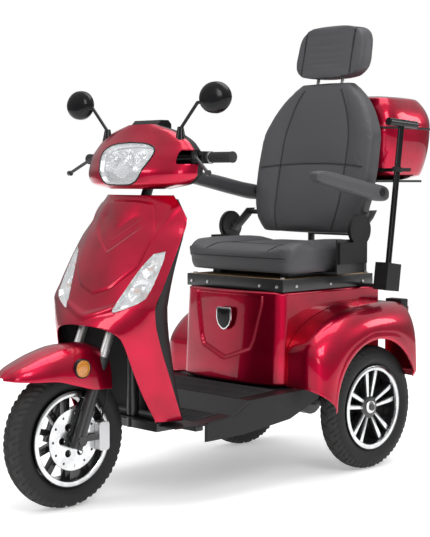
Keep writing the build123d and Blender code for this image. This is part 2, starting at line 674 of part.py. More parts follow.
# centre panel, seen from the front: a shield that narrows to a point above the wheel arch
PANEL_POINTS = ((0, 896), (112, 886), (150, 800), (138, 700), (70, 640), (0, 618))
PANEL_T = 2.6
with BuildPart() as apron_centre_panel:
    loft(shell_faces(apron_line, SEAM + PANEL_T), ruled=True)
    loft(shell_faces(stretched(apron_line, 2, 2), SEAM, 1), ruled=True, mode=Mode.SUBTRACT)
    with BuildSketch(Plane.XZ.offset(-fy(300))):
        with BuildLine():
            Polyline(*PANEL_POINTS, *[(-x, z) for x, z in reversed(PANEL_POINTS[1:-1])], close=True)
        make_face()
    extrude(amount=200, mode=Mode.INTERSECT)
save(apron_centre_panel.part, "apron_centre_panel")

# signal lamps, seen from the front
LAMP_OUTLINE = ((202, 748), (172, 740), (145, 690), (103, 580), (112, 572), (182, 600), (200, 615), (208, 690))
with BuildPart() as signal_lamps:
    loft(shell_faces(apron_line, SEAM + 5), ruled=True)
    loft(shell_faces(stretched(apron_line, 2, 2), SEAM, 1), ruled=True, mode=Mode.SUBTRACT)
    with BuildSketch(Plane.XZ.offset(-fy(300))):
        with BuildLine():
            Polyline(*LAMP_OUTLINE, close=True)
        make_face()
        mirror(about=Plane.YZ)
    extrude(amount=250, mode=Mode.INTERSECT)
save(signal_lamps.part, "signal_lamps")

with BuildPart() as inner_legshield:
    loft(shell_faces(shield_line, 0), ruled=True)
    loft(shell_faces(stretched(shield_line, 2, 2), -WALL, 1), ruled=True, mode=Mode.SUBTRACT)
    add(block(-300, 300, fy(100), fy(500), SHIELD_TOP, 930), mode=Mode.SUBTRACT)
save(inner_legshield.part, "inner_legshield")


# ---------------------------------------------------------------- floor
FLOOR_TOP = (
    (fy(214), 236), (fy(416), 252), (fy(489), 289), (ry(-383), 294), (ry(-245), 298),
)
FLOOR_BOTTOM = ((ry(-245), 262), (ry(-382), 212), (fy(459), 192), (fy(228), 190))
with BuildPart() as floor_board:
    with BuildSketch(side_plane(-FLOOR_HALF_W)):
        with BuildLine():
            Polyline(*FLOOR_TOP, *FLOOR_BOTTOM, close=True)
        make_face()
    extrude(amount=2 * FLOOR_HALF_W)
    with BuildSketch(Plane.XY.offset(150)):
        with BuildLine():
            outline = Polyline((-FLOOR_HALF_W, ry(0)), (-FLOOR_HALF_W, fy(300)), (-245, fy(214)),
                               (245, fy(214)), (FLOOR_HALF_W, fy(300)), (FLOOR_HALF_W, ry(0)), close=True)
        make_face()
    extrude(amount=200, mode=Mode.INTERSECT)
    with BuildSketch(side_plane(-FLOOR_HALF_W + FLOOR_T)):
        with BuildLine():
            Polyline(*[(y, z - FLOOR_T) for y, z in FLOOR_TOP],
                     (ry(-245), 150), (fy(200), 150), (fy(200), 236 - FLOOR_T), close=True)
        make_face()
    extrude(amount=2 * (FLOOR_HALF_W - FLOOR_T), mode=Mode.SUBTRACT)
    add(block(-170, 170, fy(150), fy(238), 150, 300), mode=Mode.SUBTRACT)
    add(rod((0, fy(RAIL_FRONT), 150), (0, fy(RAIL_FRONT), 300), TUBE_R + 1), mode=Mode.SUBTRACT)
    add(block(-POST_FRAME_X - 16, POST_FRAME_X + 16, ry(-314), ry(-200), 150, 310), mode=Mode.SUBTRACT)
save(floor_board.part, "floor_board")

MAT_T = 3.0
MAT_HALF_W = 225.0
with BuildPart() as floor_mat:
    with BuildSketch(side_plane(-MAT_HALF_W)):
        with BuildLine():
            Polyline((fy(306), 243.5), (fy(414), 251.9), (fy(414), 251.9 + MAT_T), (fy(306), 243.5 + MAT_T),
                     close=True)
        make_face()
    extrude(amount=2 * MAT_HALF_W)
    with BuildSketch(side_plane(-MAT_HALF_W)):
        with BuildLine():
            Polyline((fy(494), 289.2), (ry(-383), 294), (ry(-383), 294 + MAT_T), (fy(494), 289.2 + MAT_T),
                     close=True)
        make_face()
    extrude(amount=2 * MAT_HALF_W)
save(floor_mat.part, "floor_mat")


# ---------------------------------------------------------------- tower and rear body
def tower_face(z, half_width, front, bulge, rear):
    """Plan section of the battery tower: bowed front, straight sides and back."""
    with BuildSketch(Plane.XY.offset(z)) as face:
        with BuildLine():
            bow = ThreePointArc((-half_width, ry(front)), (0, ry(front - bulge)), (half_width, ry(front)))
            Polyline(bow @ 1, (half_width, ry(rear)), (-half_width, ry(rear)), bow @ 0)
        make_face()
    return face.sketch


def tower_faces(z0, z1, wall):
    """Bottom and top sections of the tower, shrunk by a wall."""
    return [
        tower_face(z0, BODY_HALF_W - 1 - wall, TOWER_FRONT - 16 + wall, 30, TOWER_REAR - wall),
        tower_face(z1, BODY_HALF_W - 4 - wall, TOWER_FRONT + wall, 34, TOWER_REAR - wall),
    ]


with BuildPart() as tower_cover:
    loft(tower_faces(TOWER_Z0, TOWER_Z1, 0), ruled=True)
    loft(tower_faces(TOWER_Z0 - 1, TOWER_Z1 + 1, WALL), ruled=True, mode=Mode.SUBTRACT)
save(tower_cover.part, "tower_cover")

BADGE = 75.0
BADGE_Z = 505.0
with BuildPart() as tower_badge:
    with BuildSketch(Plane.XZ.offset(-ry(TOWER_FRONT))):
        with BuildLine():
            half = BADGE / 2
            Polyline((-half, BADGE_Z + half), (half, BADGE_Z + half), (half, BADGE_Z - half * 0.3),
                     (0, BADGE_Z - half), (-half, BADGE_Z - half * 0.3), close=True)
        make_face()
    extrude(amount=47)
    add(loft(tower_faces(TOWER_Z0, TOWER_Z1, -SEAM / 2), ruled=True, mode=Mode.PRIVATE), mode=Mode.SUBTRACT)
save(tower_badge.part, "tower_badge")

# rear fender side views, back from the rear axle and up from the ground
FENDER_INNER = ((-330, 300), (-325, 405), (-263, 482), (-180, 520), (-95, 540), (52, 550), (150, 545), (182, 500),
                (182, 330), (160, 300))
FENDER_OUTER = ((-266, 251), (-245, 330), (-200, 400), (-135, 440), (-50, 462), (45, 452), (115, 412), (150, 360),
                (156, 320), (140, 300))
TYRE_GAP = 12.0
LIP_Y = -44.0
LIP_Z = WHEEL_R + 30


def fender_outlines(wall):
    """Side-view outlines of a rear fender from the tower out to its lip."""
    stations = ((BODY_HALF_W - 1 + SEAM, FENDER_INNER), (TRACK_HALF + 16, FENDER_INNER), (FENDER_OUT, FENDER_OUTER))
    faces = []
    for x, points in stations:
        low = min(z for _, z in points)
        shrunk = [(ry(y) - wall * (1 if y > 0 else -1), z - (wall if z > low else -0.0)) for y, z in points]
        faces.append(side_outline(x - (wall if x == FENDER_OUT else 0), shrunk))
    return faces


with BuildPart() as rear_fender_left:
    loft(fender_outlines(0), ruled=True)
    loft(fender_outlines(WALL + 1), ruled=True, mode=Mode.SUBTRACT)
    add(block(BODY_HALF_W, FENDER_OUT + 5, ry(-240), ry(240), 240, WHEEL_R + 98), mode=Mode.SUBTRACT)
    with BuildSketch(side_plane(BODY_HALF_W)):
        with Locations((ry(0), WHEEL_R + REAR_TRAVEL / 2)):
            SlotCenterToCenter(REAR_TRAVEL, 2 * (WHEEL_R + TYRE_GAP), rotation=90)
    extrude(amount=WHEEL_SIDE_GAP + TYRE_W + TYRE_GAP, mode=Mode.SUBTRACT)
    with BuildSketch(side_plane(BODY_HALF_W + WHEEL_SIDE_GAP + TYRE_W + TYRE_GAP - 1)):
        with Locations((ry(LIP_Y), LIP_Z)):
            Circle(WHEEL_R)
    extrude(amount=100, mode=Mode.SUBTRACT)
fender_solid = rear_fender_left.part.solids().sort_by(SortBy.VOLUME)[-1]
save(fender_solid, "rear_fender_left")
save(mirrored(fender_solid), "rear_fender_right")

# ---------------------------------------------------------------- tail lamps
TAIL_X = (246.0, 314.0)
TAIL_Z = (500.0, 560.0)
with BuildPart() as tail_lamps:
    add(block(*TAIL_X, ry(150), ry(196), TAIL_Z[0], TAIL_Z[1] - 6))
    add(loft(fender_outlines(-SEAM), ruled=True, mode=Mode.PRIVATE), mode=Mode.SUBTRACT)
    mirror(about=Plane.YZ)
save(tail_lamps.part, "tail_lamps")


# ---------------------------------------------------------------- battery and seat base
BATTERY_Z = 300.0
BATTERY_H = 150.0
battery_half = POST_FRAME_X - 12 - 8
with BuildPart() as battery_pack:
    for x0, x1 in ((-battery_half, -4), (4, battery_half)):
        for y0, y1 in ((-300, -168), (-160, -28)):
            add(block(x0, x1, ry(y0), ry(y1), BATTERY_Z, BATTERY_Z + BATTERY_H))
save(battery_pack.part, "battery_pack")

FRAME_HALF_W = BODY_HALF_W - 8
FRAME_Y = (TOWER_FRONT + 2, 118.0)
BAR_W = 34.0
with BuildPart() as seat_base_frame:
    add(block(-FRAME_HALF_W, FRAME_HALF_W, ry(FRAME_Y[0]), ry(FRAME_Y[1]), TOWER_Z1, DECK_Z))
    add(block(-FRAME_HALF_W + BAR_W, FRAME_HALF_W - BAR_W, ry(FRAME_Y[0]) + BAR_W, ry(FRAME_Y[1]) - BAR_W,
              TOWER_Z1, DECK_Z), mode=Mode.SUBTRACT)
    add(block(-FRAME_HALF_W + 1, FRAME_HALF_W - 1, ry(-100), ry(-66), TOWER_Z1, DECK_Z))
    for side in (-1, 1):
        x0, x1 = sorted((side * (SEAT_RAIL_X - 14), side * (SEAT_RAIL_X + 14)))
        add(block(x0, x1, ry(-260), ry(60), RAILS_Z, RAILS_Z + RAIL_T))
        add(block(x0, x1, ry(-258), ry(-242), DECK_Z, RAILS_Z))
        add(block(x0, x1, ry(42), ry(58), DECK_Z, RAILS_Z))
save(seat_base_frame.part, "seat_base_frame")

DECK_HALF_W = FRAME_HALF_W - 9
BOLT_R = 4.0
BOLT_X = FRAME_HALF_W - 17
BOLT_Y = (ry(FRAME_Y[0]) + 17, ry(FRAME_Y[1]) - 17)
with BuildPart() as deck_board:
    add(block(-DECK_HALF_W, DECK_HALF_W, ry(FRAME_Y[0]) + 6, ry(FRAME_Y[1]) - 6, DECK_Z, RAILS_Z))
    with Locations([(x, y, DECK_Z + DECK_T / 2) for x in (-BOLT_X, BOLT_X) for y in BOLT_Y]):
        Cylinder(BOLT_R, DECK_T, mode=Mode.SUBTRACT)
    for side in (-1, 1):
        x0, x1 = sorted((side * (SEAT_RAIL_X - 14), side * (SEAT_RAIL_X + 14)))
        for y0, y1 in ((-258, -242), (42, 58)):
            add(block(x0, x1, ry(y0), ry(y1), DECK_Z, RAILS_Z), mode=Mode.SUBTRACT)
save(deck_board.part, "deck_board")

with BuildPart() as deck_bolts:
    for x in (-BOLT_X, BOLT_X):
        for y in BOLT_Y:
            add(rod((x, y, DECK_Z), (x, y, RAILS_Z), BOLT_R))
            with BuildSketch(Plane(origin=(x, y, RAILS_Z))):
                RegularPolygon(7.5, 6)
            extrude(amount=5)
save(deck_bolts.part, "deck_bolts")


# ---------------------------------------------------------------- rear axle and suspension
AXLE_TUBE_R = 24.0
hub_in = TRACK_HALF - 34
with BuildPart() as drive_axle:
    add(rod((-hub_in + SLIDE_FIT, ry(0), WHEEL_R), (hub_in - SLIDE_FIT, ry(0), WHEEL_R), AXLE_TUBE_R))
    add(rod((-TRACK_HALF - 30, ry(0), WHEEL_R), (TRACK_HALF + 30, ry(0), WHEEL_R), HUB_PIN_R))
    add(rod((-48, ry(0), WHEEL_R), (48, ry(0), WHEEL_R), 56))
    add(rod((6, ry(-35), WHEEL_R), (6, ry(-190), WHEEL_R), 44))
    for side in (-1, 1):
        add(rod((side * 60, ry(PIVOT_Y), WHEEL_R + 12), (side * 150, ry(PIVOT_Y), WHEEL_R + 12), PIVOT_R))
        arm_x = sorted((side * 82, side * 66))
        add(block(*arm_x, ry(PIVOT_Y - 14), ry(10), WHEEL_R, WHEEL_R + 24))
        lug = sorted((side * (SHOCK_X + EYE_W / 2 + SLIDE_FIT), side * (SHOCK_X + EYE_W / 2 + 8)))
        add(block(*lug, ry(SHOCK_Y - 10), ry(SHOCK_Y + 10), WHEEL_R + 10, shock_low_z + 9))
        add(rod((side * (SHOCK_X - EYE_W / 2), ry(SHOCK_Y), shock_low_z), (lug[0] + 4, ry(SHOCK_Y), shock_low_z),
                EYE_PIN_R))
save(drive_axle.part, "drive_axle")

SHOCK_BORE_R = SHOCK_ROD_R + 4
rod_top = SHOCK_TOP_Z - REAR_TRAVEL - 12
with BuildPart() as shock_rods:
    for side in (-1, 1):
        eye = ((side * SHOCK_X - EYE_W / 2, ry(SHOCK_Y), shock_low_z),
               (side * SHOCK_X + EYE_W / 2, ry(SHOCK_Y), shock_low_z))
        add(rod((side * SHOCK_X, ry(SHOCK_Y), shock_low_z), (side * SHOCK_X, ry(SHOCK_Y), rod_top), SHOCK_ROD_R))
        add(rod(*eye, EYE_R))
        add(rod((side * SHOCK_X, ry(SHOCK_Y), shock_low_z + 22),
                (side * SHOCK_X, ry(SHOCK_Y), shock_low_z + 30), 24))
        add(rod(*eye, EYE_PIN_R + RUN_FIT), mode=Mode.SUBTRACT)
save(shock_rods.part, "shock_rods")

with BuildPart() as shock_bodies:
    for side in (-1, 1):
        add(rod((side * SHOCK_X, ry(SHOCK_Y), 330), (side * SHOCK_X, ry(SHOCK_Y), SHOCK_TOP_Z), 18))
        add(rod((side * SHOCK_X, ry(SHOCK_Y), 320), (side * SHOCK_X, ry(SHOCK_Y), SHOCK_TOP_Z - 8),
                SHOCK_BORE_R), mode=Mode.SUBTRACT)
save(shock_bodies.part, "shock_bodies")


# ---------------------------------------------------------------- seat
PLATE_T = 6.0
PLATE_Y = (-157.0, -19.0)
with BuildPart() as seat_carriage:
    add(block(-BRACKET_X, BRACKET_X, ry(PLATE_Y[0]), ry(PLATE_Y[1]), CARRIAGE_Z, CARRIAGE_Z + PLATE_T))
    add(block(-190, 190, ry(-262), ry(-2), CARRIAGE_Z, CARRIAGE_Z + PLATE_T))
    for side in (-1, 1):
        x0, x1 = sorted((side * BRACKET_X, side * (BRACKET_X + BRACKET_T)))
        add(block(x0, x1, ry(PLATE_Y[0]), ry(PLATE_Y[1]), CARRIAGE_Z, RECLINE_Z - 30))
        add(rod((x0, ry(RECLINE_Y), RECLINE_Z), (x1, ry(RECLINE_Y), RECLINE_Z), 46))
        add(rod((x0, ry(RECLINE_Y), RECLINE_Z), (x1, ry(RECLINE_Y), RECLINE_Z), RECLINE_PIN_R + RUN_FIT),
            mode=Mode.SUBTRACT)
        lip = sorted((side * (SEAT_RAIL_X + 14 + SLIDE_FIT), side * (SEAT_RAIL_X + 22)))
        add(block(*lip, ry(-262), ry(-2), RAILS_Z + 2, CARRIAGE_Z))
save(seat_carriage.part, "seat_carriage")

with BuildPart() as seat_cushion:
    add(block(-SEAT_HALF_W, SEAT_HALF_W, ry(SEAT_FRONT), ry(SEAT_REAR), CARRIAGE_Z + PLATE_T, SEAT_Z1))
    fillet(seat_cushion.edges().filter_by(Axis.Z), 45)
    fillet(seat_cushion.faces().sort_by(Axis.Z)[-1].edges(), 22)
save(seat_cushion.part, "seat_cushion")

cover_x = BRACKET_X + BRACKET_T + SEAM
with BuildPart() as recliner_covers:
    for side in (-1, 1):
        x0, x1 = sorted((side * cover_x, side * (cover_x + 12)))
        add(rod((x0, ry(RECLINE_Y), RECLINE_Z), (x1, ry(RECLINE_Y), RECLINE_Z), 52))
        add(block(x0, x1, ry(PLATE_Y[0]), ry(PLATE_Y[1]), 684, RECLINE_Z - 40))
        pocket = sorted((side * (cover_x - 1), side * (cover_x + 4)))
        add(rod((pocket[0], ry(RECLINE_Y), RECLINE_Z), (pocket[1], ry(RECLINE_Y), RECLINE_Z), 14),
            mode=Mode.SUBTRACT)
save(recliner_covers.part, "recliner_covers")

LEVER_HUB_Y = ry(-130)
LEVER_HUB_Z = 716.0
with BuildPart() as recline_lever:
    outer = -(cover_x + 12 + SLIDE_FIT)
    add(rod((outer, LEVER_HUB_Y, LEVER_HUB_Z), (outer - 10, LEVER_HUB_Y, LEVER_HUB_Z), 13))
    add(block(outer - 10, outer - 2, LEVER_HUB_Y - 66, LEVER_HUB_Y, LEVER_HUB_Z - 7, LEVER_HUB_Z + 7))
    add(block(outer - 34, outer - 2, LEVER_HUB_Y - 86, LEVER_HUB_Y - 60, LEVER_HUB_Z - 8, LEVER_HUB_Z + 8))
save(recline_lever.part, "recline_lever")

lean = tan(radians(BACK_LEAN))
BACK_Z0 = 773.0
BACK_Z1 = 1292.0
back_y0 = ry(-11)
# backrest outline in its own face: half width against height above the ground
BACK_HALF = ((BACK_Z0, 185), (830, 222), (900, 240), (1000, 250), (1093, 250), (1180, 215), (1250, 160),
             (BACK_Z1, 105))


def back_front(z):
    """Row y of the backrest's front at a height."""
    return back_y0 + (z - BACK_Z0) * lean


def back_profile(half_width, z0, z1, thin):
    """A slab of the leaning back between two heights, as a side-view extrusion."""
    with BuildPart() as slab:
        with BuildSketch(side_plane(-half_width)):
            with BuildLine():
                Polyline((back_front(z0), z0), (back_front(z0) + BACK_T, z0),
                         (back_front(z1) + thin, z1), (back_front(z1), z1), close=True)
            make_face()
        extrude(amount=2 * half_width)
    return slab.part


BACK_BRACKET_X = BRACKET_X - SLIDE_FIT - 6
with BuildPart() as backrest:
    add(back_profile(260, BACK_Z0, BACK_Z1, 82))
    with BuildSketch(Plane.XZ.offset(-ry(400))):
        with BuildLine():
            Polyline(*[(w, z) for z, w in BACK_HALF], *[(-w, z) for z, w in reversed(BACK_HALF)], close=True)
        make_face()
    extrude(amount=600, mode=Mode.INTERSECT)
    for side in (-1, 1):
        x0, x1 = sorted((side * BACK_BRACKET_X, side * (BACK_BRACKET_X + 6)))
        with BuildSketch(side_plane(x0)):
            with BuildLine():
                Polyline((ry(RECLINE_Y - 18), RECLINE_Z - 12), (ry(RECLINE_Y + 18), RECLINE_Z - 22),
                         (ry(36), 828), (ry(56), 855), (ry(16), 855), close=True)
            make_face()
        extrude(amount=6)
        bx0, bx1 = sorted((side * 200, side * (BACK_BRACKET_X + 1)))
        add(block(bx0, bx1, ry(24), ry(42), 833, 849))
        pin = sorted((side * BACK_BRACKET_X, side * (BRACKET_X + BRACKET_T)))
        add(rod((pin[0], ry(RECLINE_Y), RECLINE_Z), (pin[1], ry(RECLINE_Y), RECLINE_Z), RECLINE_PIN_R))
        arm_pin = sorted((side * 225, side * (ARM_X + ARM_W / 2 - 6)))
        add(rod((arm_pin[0], ry(ARM_PIVOT_Y), ARM_PIVOT_Z), (arm_pin[1], ry(ARM_PIVOT_Y), ARM_PIVOT_Z), ARM_PIN_R))
save(backrest.part, "backrest")

HEAD_Z = (1304.0, 1494.0)
HEAD_HALF_W = 157.0
HEADREST_T = 96.0
HEAD_POST_R = 6.0
HEAD_POST_X = 55.0
with BuildPart() as headrest:
    with BuildSketch(side_plane(-HEAD_HALF_W)):
        with BuildLine():
            Polyline((back_front(HEAD_Z[0]) - 8, HEAD_Z[0]), (back_front(HEAD_Z[0]) + HEADREST_T - 16, HEAD_Z[0]),
                     (back_front(HEAD_Z[1]) + HEADREST_T - 50, HEAD_Z[1]),
                     (back_front(HEAD_Z[1]) - 30, HEAD_Z[1]), close=True)
        make_face()
    extrude(amount=2 * HEAD_HALF_W)
    fillet(headrest.edges().filter_by(Axis.X), 22)
    for side in (-1, 1):
        add(rod((side * HEAD_POST_X, back_front(1200) + 40, 1200),
                (side * HEAD_POST_X, back_front(1320) + 40, 1320), HEAD_POST_R))
save(headrest.part, "headrest")

with BuildPart() as backrest_bored:
    add(backrest.part)
    for side in (-1, 1):
        add(rod((side * HEAD_POST_X, back_front(1190) + 40, 1190),
                (side * HEAD_POST_X, back_front(1320) + 40, 1320), HEAD_POST_R + SLIDE_FIT), mode=Mode.SUBTRACT)
save(backrest_bored.part, "backrest")

ARM_FRONT = (-279.0, 965.0)
ARM_T = 44.0
ARM_REAR = (96.0, 908.0)
for side, suffix in ((1, "left"), (-1, "right")):
    with BuildPart() as armrest:
        with BuildSketch(side_plane(side * ARM_X - ARM_W / 2)):
            with BuildLine():
                Polyline((ry(ARM_FRONT[0]), ARM_FRONT[1] - ARM_T / 2 + 8), (ry(ARM_REAR[0]), ARM_REAR[1] - 27),
                         (ry(ARM_REAR[0]), ARM_REAR[1] + 27), (ry(ARM_FRONT[0]), ARM_FRONT[1] + ARM_T / 2),
                         close=True)
            make_face()
        extrude(amount=ARM_W)
        fillet(armrest.edges().filter_by(Axis.X), 12)
        pin = sorted((side * 200, side * (ARM_X + ARM_W / 2 - 6 + SLIDE_FIT)))
        add(rod((pin[0], ry(ARM_PIVOT_Y), ARM_PIVOT_Z), (pin[1], ry(ARM_PIVOT_Y), ARM_PIVOT_Z), ARM_PIN_R + RUN_FIT),
            mode=Mode.SUBTRACT)
    save(armrest.part, f"armrest_{suffix}")


# ---------------------------------------------------------------- top box and its rack
RACK_T = 8.0
RACK_HALF_W = 186.0
RACK_BOLT_R = 3.3
RACK_BOLTS = (354.0, 220.0)     # spacing across and along
RACK_BOLT_Y = 300.0             # pattern's centre behind the rear axle
with BuildPart() as box_rack:
    for side in (-1, 1):
        add(rod((side * POST_X, ry(POST_Y), 480), (side * POST_X, ry(POST_Y), BOX_Z0 - RACK_T), POST_R))
        foot = sorted((side * (POST_X - 14), side * (POST_X + 14)))
        add(block(*foot, ry(FRAME_Y[1]), ry(POST_Y + 12), TOWER_Z1, TOWER_Z1 + 12))
    add(block(-RACK_HALF_W, RACK_HALF_W, ry(POST_Y - 14), ry(430), BOX_Z0 - RACK_T, BOX_Z0))
    with Locations((0, ry(RACK_BOLT_Y), BOX_Z0 - RACK_T / 2)):
        with GridLocations(*RACK_BOLTS, 2, 2):
            Cylinder(RACK_BOLT_R, RACK_T, mode=Mode.SUBTRACT)
    add(block(-POST_X, POST_X, ry(POST_Y) - 6, ry(POST_Y) + 6, 760, 780))
save(box_rack.part, "box_rack")


def box_face(z, half_width, front, rear, corner):
    """Plan section of the top box with rounded corners."""
    with BuildSketch(Plane.XY.offset(z)) as face:
        with Locations((0, ry((front + rear) / 2))):
            RectangleRounded(2 * half_width, rear - front, corner)
    return face.sketch


BOX_WALL = 4.0
LID_GAP = 0.5


def box_outer(grow):
    """Sections of the top box's base from its floor to its rim."""
    return [
        box_face(BOX_Z0 - grow, 165 + grow, BOX_FRONT - 2 - grow, 400 + grow, 40),
        box_face(1060, 190 + grow, BOX_FRONT - 4 - grow, 470 + grow, 60),
        box_face(BOX_RIM_Z - 20, BOX_HALF_W + grow, BOX_FRONT - grow, BOX_REAR + grow, 70),
    ]


lid_z = BOX_RIM_Z - 20 + LID_GAP
HINGE_X = (40.0, 100.0)      # the lid's two hinge knuckles, on its front lower edge
HINGE_R = 3.0
with BuildPart() as top_box_base:
    loft(box_outer(0), ruled=True)
    inner = [
        box_face(BOX_Z0 + BOX_WALL, 165 - BOX_WALL, BOX_FRONT - 2 + BOX_WALL, 400 - BOX_WALL, 36),
        box_face(1060, 190 - BOX_WALL, BOX_FRONT - 4 + BOX_WALL, 470 - BOX_WALL, 56),
        box_face(BOX_RIM_Z - 20 + 1, BOX_HALF_W - BOX_WALL, BOX_FRONT + BOX_WALL, BOX_REAR - BOX_WALL, 66),
    ]
    loft(inner, ruled=True, mode=Mode.SUBTRACT)
    for side in (-1, 1):
        add(rod((side * HINGE_X[0], ry(BOX_FRONT), lid_z), (side * HINGE_X[1], ry(BOX_FRONT), lid_z),
                HINGE_R + SLIDE_FIT), mode=Mode.SUBTRACT)
save(top_box_base.part, "top_box_base")

with BuildPart() as box_lid:
    lid_outer = [
        box_face(lid_z, BOX_HALF_W, BOX_FRONT, BOX_REAR, 70),
        box_face(lid_z + 50, BOX_HALF_W - 12, BOX_FRONT + 10, BOX_REAR - 22, 70),
        box_face(BOX_TOP_Z, BOX_HALF_W - 52, BOX_FRONT + 50, BOX_REAR - 90, 60),
    ]
    loft(lid_outer, ruled=True)
    lid_inner = [
        box_face(lid_z - 1, BOX_HALF_W - BOX_WALL, BOX_FRONT + BOX_WALL, BOX_REAR - BOX_WALL, 66),
        box_face(lid_z + 50, BOX_HALF_W - 12 - BOX_WALL, BOX_FRONT + 10 + BOX_WALL, BOX_REAR - 22 - BOX_WALL, 66),
        box_face(BOX_TOP_Z - BOX_WALL, BOX_HALF_W - 54, BOX_FRONT + 52, BOX_REAR - 92, 58),
    ]
    loft(lid_inner, ruled=True, mode=Mode.SUBTRACT)
    for side in (-1, 1):
        add(rod((side * (HINGE_X[0] + 2), ry(BOX_FRONT), lid_z), (side * (HINGE_X[1] - 2), ry(BOX_FRONT), lid_z),
                HINGE_R))
save(box_lid.part, "box_lid")


# ---------------------------------------------------------------- walking stick
stick_dir = Vector(0, sin(radians(STICK_LEAN)), cos(radians(STICK_LEAN)))
stick_foot = Vector(STICK_X, ry(45), STICK_FOOT_Z)
STICK_L = 560.0
CUP_HALF = (24.0, 32.0)
CUP_DEPTH = 90.0


def stick_plane(height):
    """Plane square to the stick at a height along it."""
    return Plane(origin=stick_foot + stick_dir * height, x_dir=(1, 0, 0), z_dir=stick_dir)


with BuildPart() as walking_stick:
    with BuildSketch(stick_plane(0)):
        Circle(STICK_R)
    extrude(amount=STICK_L)
    with BuildSketch(stick_plane(0)):
        Circle(STICK_R + 5)
    extrude(amount=26)
    top = stick_foot + stick_dir * (STICK_L - 12)
    add(rod((top.X, top.Y - 70, top.Z + 4), (top.X, top.Y + 78, top.Z - 4), 13))
save(walking_stick.part, "walking_stick")

CLIP_S = 385.0
with BuildPart() as stick_holder:
    with BuildSketch(stick_plane(-8)):
        Rectangle(2 * CUP_HALF[0] + 6, 2 * CUP_HALF[1] + 6)
    extrude(amount=CUP_DEPTH)
    with BuildSketch(stick_plane(-SLIDE_FIT)):
        Rectangle(2 * CUP_HALF[0], 2 * CUP_HALF[1])
    extrude(amount=CUP_DEPTH + 10, mode=Mode.SUBTRACT)
    cup_y = stick_foot.Y
    add(block(FRAME_HALF_W, STICK_X - CUP_HALF[0] - 2, cup_y - 15, cup_y + 15, TOWER_Z1, TOWER_Z1 + 10))
    clip = stick_foot + stick_dir * CLIP_S
    with BuildSketch(stick_plane(CLIP_S)):
        Circle(STICK_R + 7)
        Circle(STICK_R + SLIDE_FIT, mode=Mode.SUBTRACT)
    extrude(amount=16)
    add(block(POST_X + 6, STICK_X - STICK_R - 3, ry(POST_Y - 5), ry(POST_Y + 5), clip.Z + 2, clip.Z + 14))
    add(block(STICK_X - STICK_R - 8, STICK_X - STICK_R - 3, clip.Y - 3, ry(POST_Y + 5), clip.Z + 2, clip.Z + 14))
    add(rod((POST_X, ry(POST_Y), 900), (POST_X, ry(POST_Y), 1100), POST_R + SLIDE_FIT), mode=Mode.SUBTRACT)
save(stick_holder.part, "stick_holder")
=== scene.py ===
"""Looks of a three-wheeled mobility scooter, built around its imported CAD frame.

The row frame has +Z up, the front towards -Y and the rider's left towards +X. Sizes are written in
millimetres and every mesh is scaled to metres when it is done.
"""

import logging
import math
from dataclasses import dataclass
from enum import Enum
from typing import Callable, Dict, List, Sequence, Tuple

import bmesh
import bpy
from mathutils import Matrix, Vector

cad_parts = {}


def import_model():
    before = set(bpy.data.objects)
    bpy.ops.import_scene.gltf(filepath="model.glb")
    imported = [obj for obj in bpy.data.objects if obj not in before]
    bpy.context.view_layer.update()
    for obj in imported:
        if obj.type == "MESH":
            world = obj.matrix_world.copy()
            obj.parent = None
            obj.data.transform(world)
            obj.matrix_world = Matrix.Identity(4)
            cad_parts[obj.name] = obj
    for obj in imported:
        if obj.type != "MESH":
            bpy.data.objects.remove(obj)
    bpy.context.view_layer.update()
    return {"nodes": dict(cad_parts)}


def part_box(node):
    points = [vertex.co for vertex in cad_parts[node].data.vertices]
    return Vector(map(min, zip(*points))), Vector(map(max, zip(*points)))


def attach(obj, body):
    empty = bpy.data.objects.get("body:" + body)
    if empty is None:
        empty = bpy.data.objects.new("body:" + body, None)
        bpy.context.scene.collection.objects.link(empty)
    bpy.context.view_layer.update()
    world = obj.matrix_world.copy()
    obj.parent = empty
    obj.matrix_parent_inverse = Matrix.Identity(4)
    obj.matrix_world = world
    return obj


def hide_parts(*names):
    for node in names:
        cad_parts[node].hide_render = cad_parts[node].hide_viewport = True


logging.basicConfig(level=logging.INFO, format="%(message)s")
LOG = logging.getLogger("scooter")

Point = Tuple[float, float, float]
Colour = Tuple[float, float, float]
MM = 0.001


# ---------------------------------------------------------------- shader maths
class Value:
    """A shader socket that builds Math nodes from Python expressions."""

    def __init__(self, tree: "Tree", socket: bpy.types.NodeSocket) -> None:
        """Wrap one output socket of a node tree."""
        self.tree = tree
        self.socket = socket

    def maths(self, operation: str, *others: object, swap: bool = False) -> "Value":
        """Run one Math node on this value.

        Args:
            operation: the name of the node's operation.
            others: the other operands, numbers or values.
            swap: put this value second, for reflected operators.
        Returns:
            The node's result.
        """
        operands = [*others, self] if swap else [self, *others]
        return self.tree.node("ShaderNodeMath", {"operation": operation}, dict(enumerate(operands)))

    def __add__(self, other: object) -> "Value":
        """Sum."""
        return self.maths("ADD", other)

    __radd__ = __add__

    def __sub__(self, other: object) -> "Value":
        """Difference."""
        return self.maths("SUBTRACT", other)

    def __rsub__(self, other: object) -> "Value":
        """Reflected difference."""
        return self.maths("SUBTRACT", other, swap=True)

    def __mul__(self, other: object) -> "Value":
        """Product."""
        return self.maths("MULTIPLY", other)

    __rmul__ = __mul__

    def step(self, low: float, high: float) -> "Value":
        """Smooth step from 0 at low to 1 at high."""
        return self.tree.node("ShaderNodeMapRange", {"interpolation_type": "SMOOTHSTEP"},
                              {"Value": self, "From Min": low, "From Max": high})


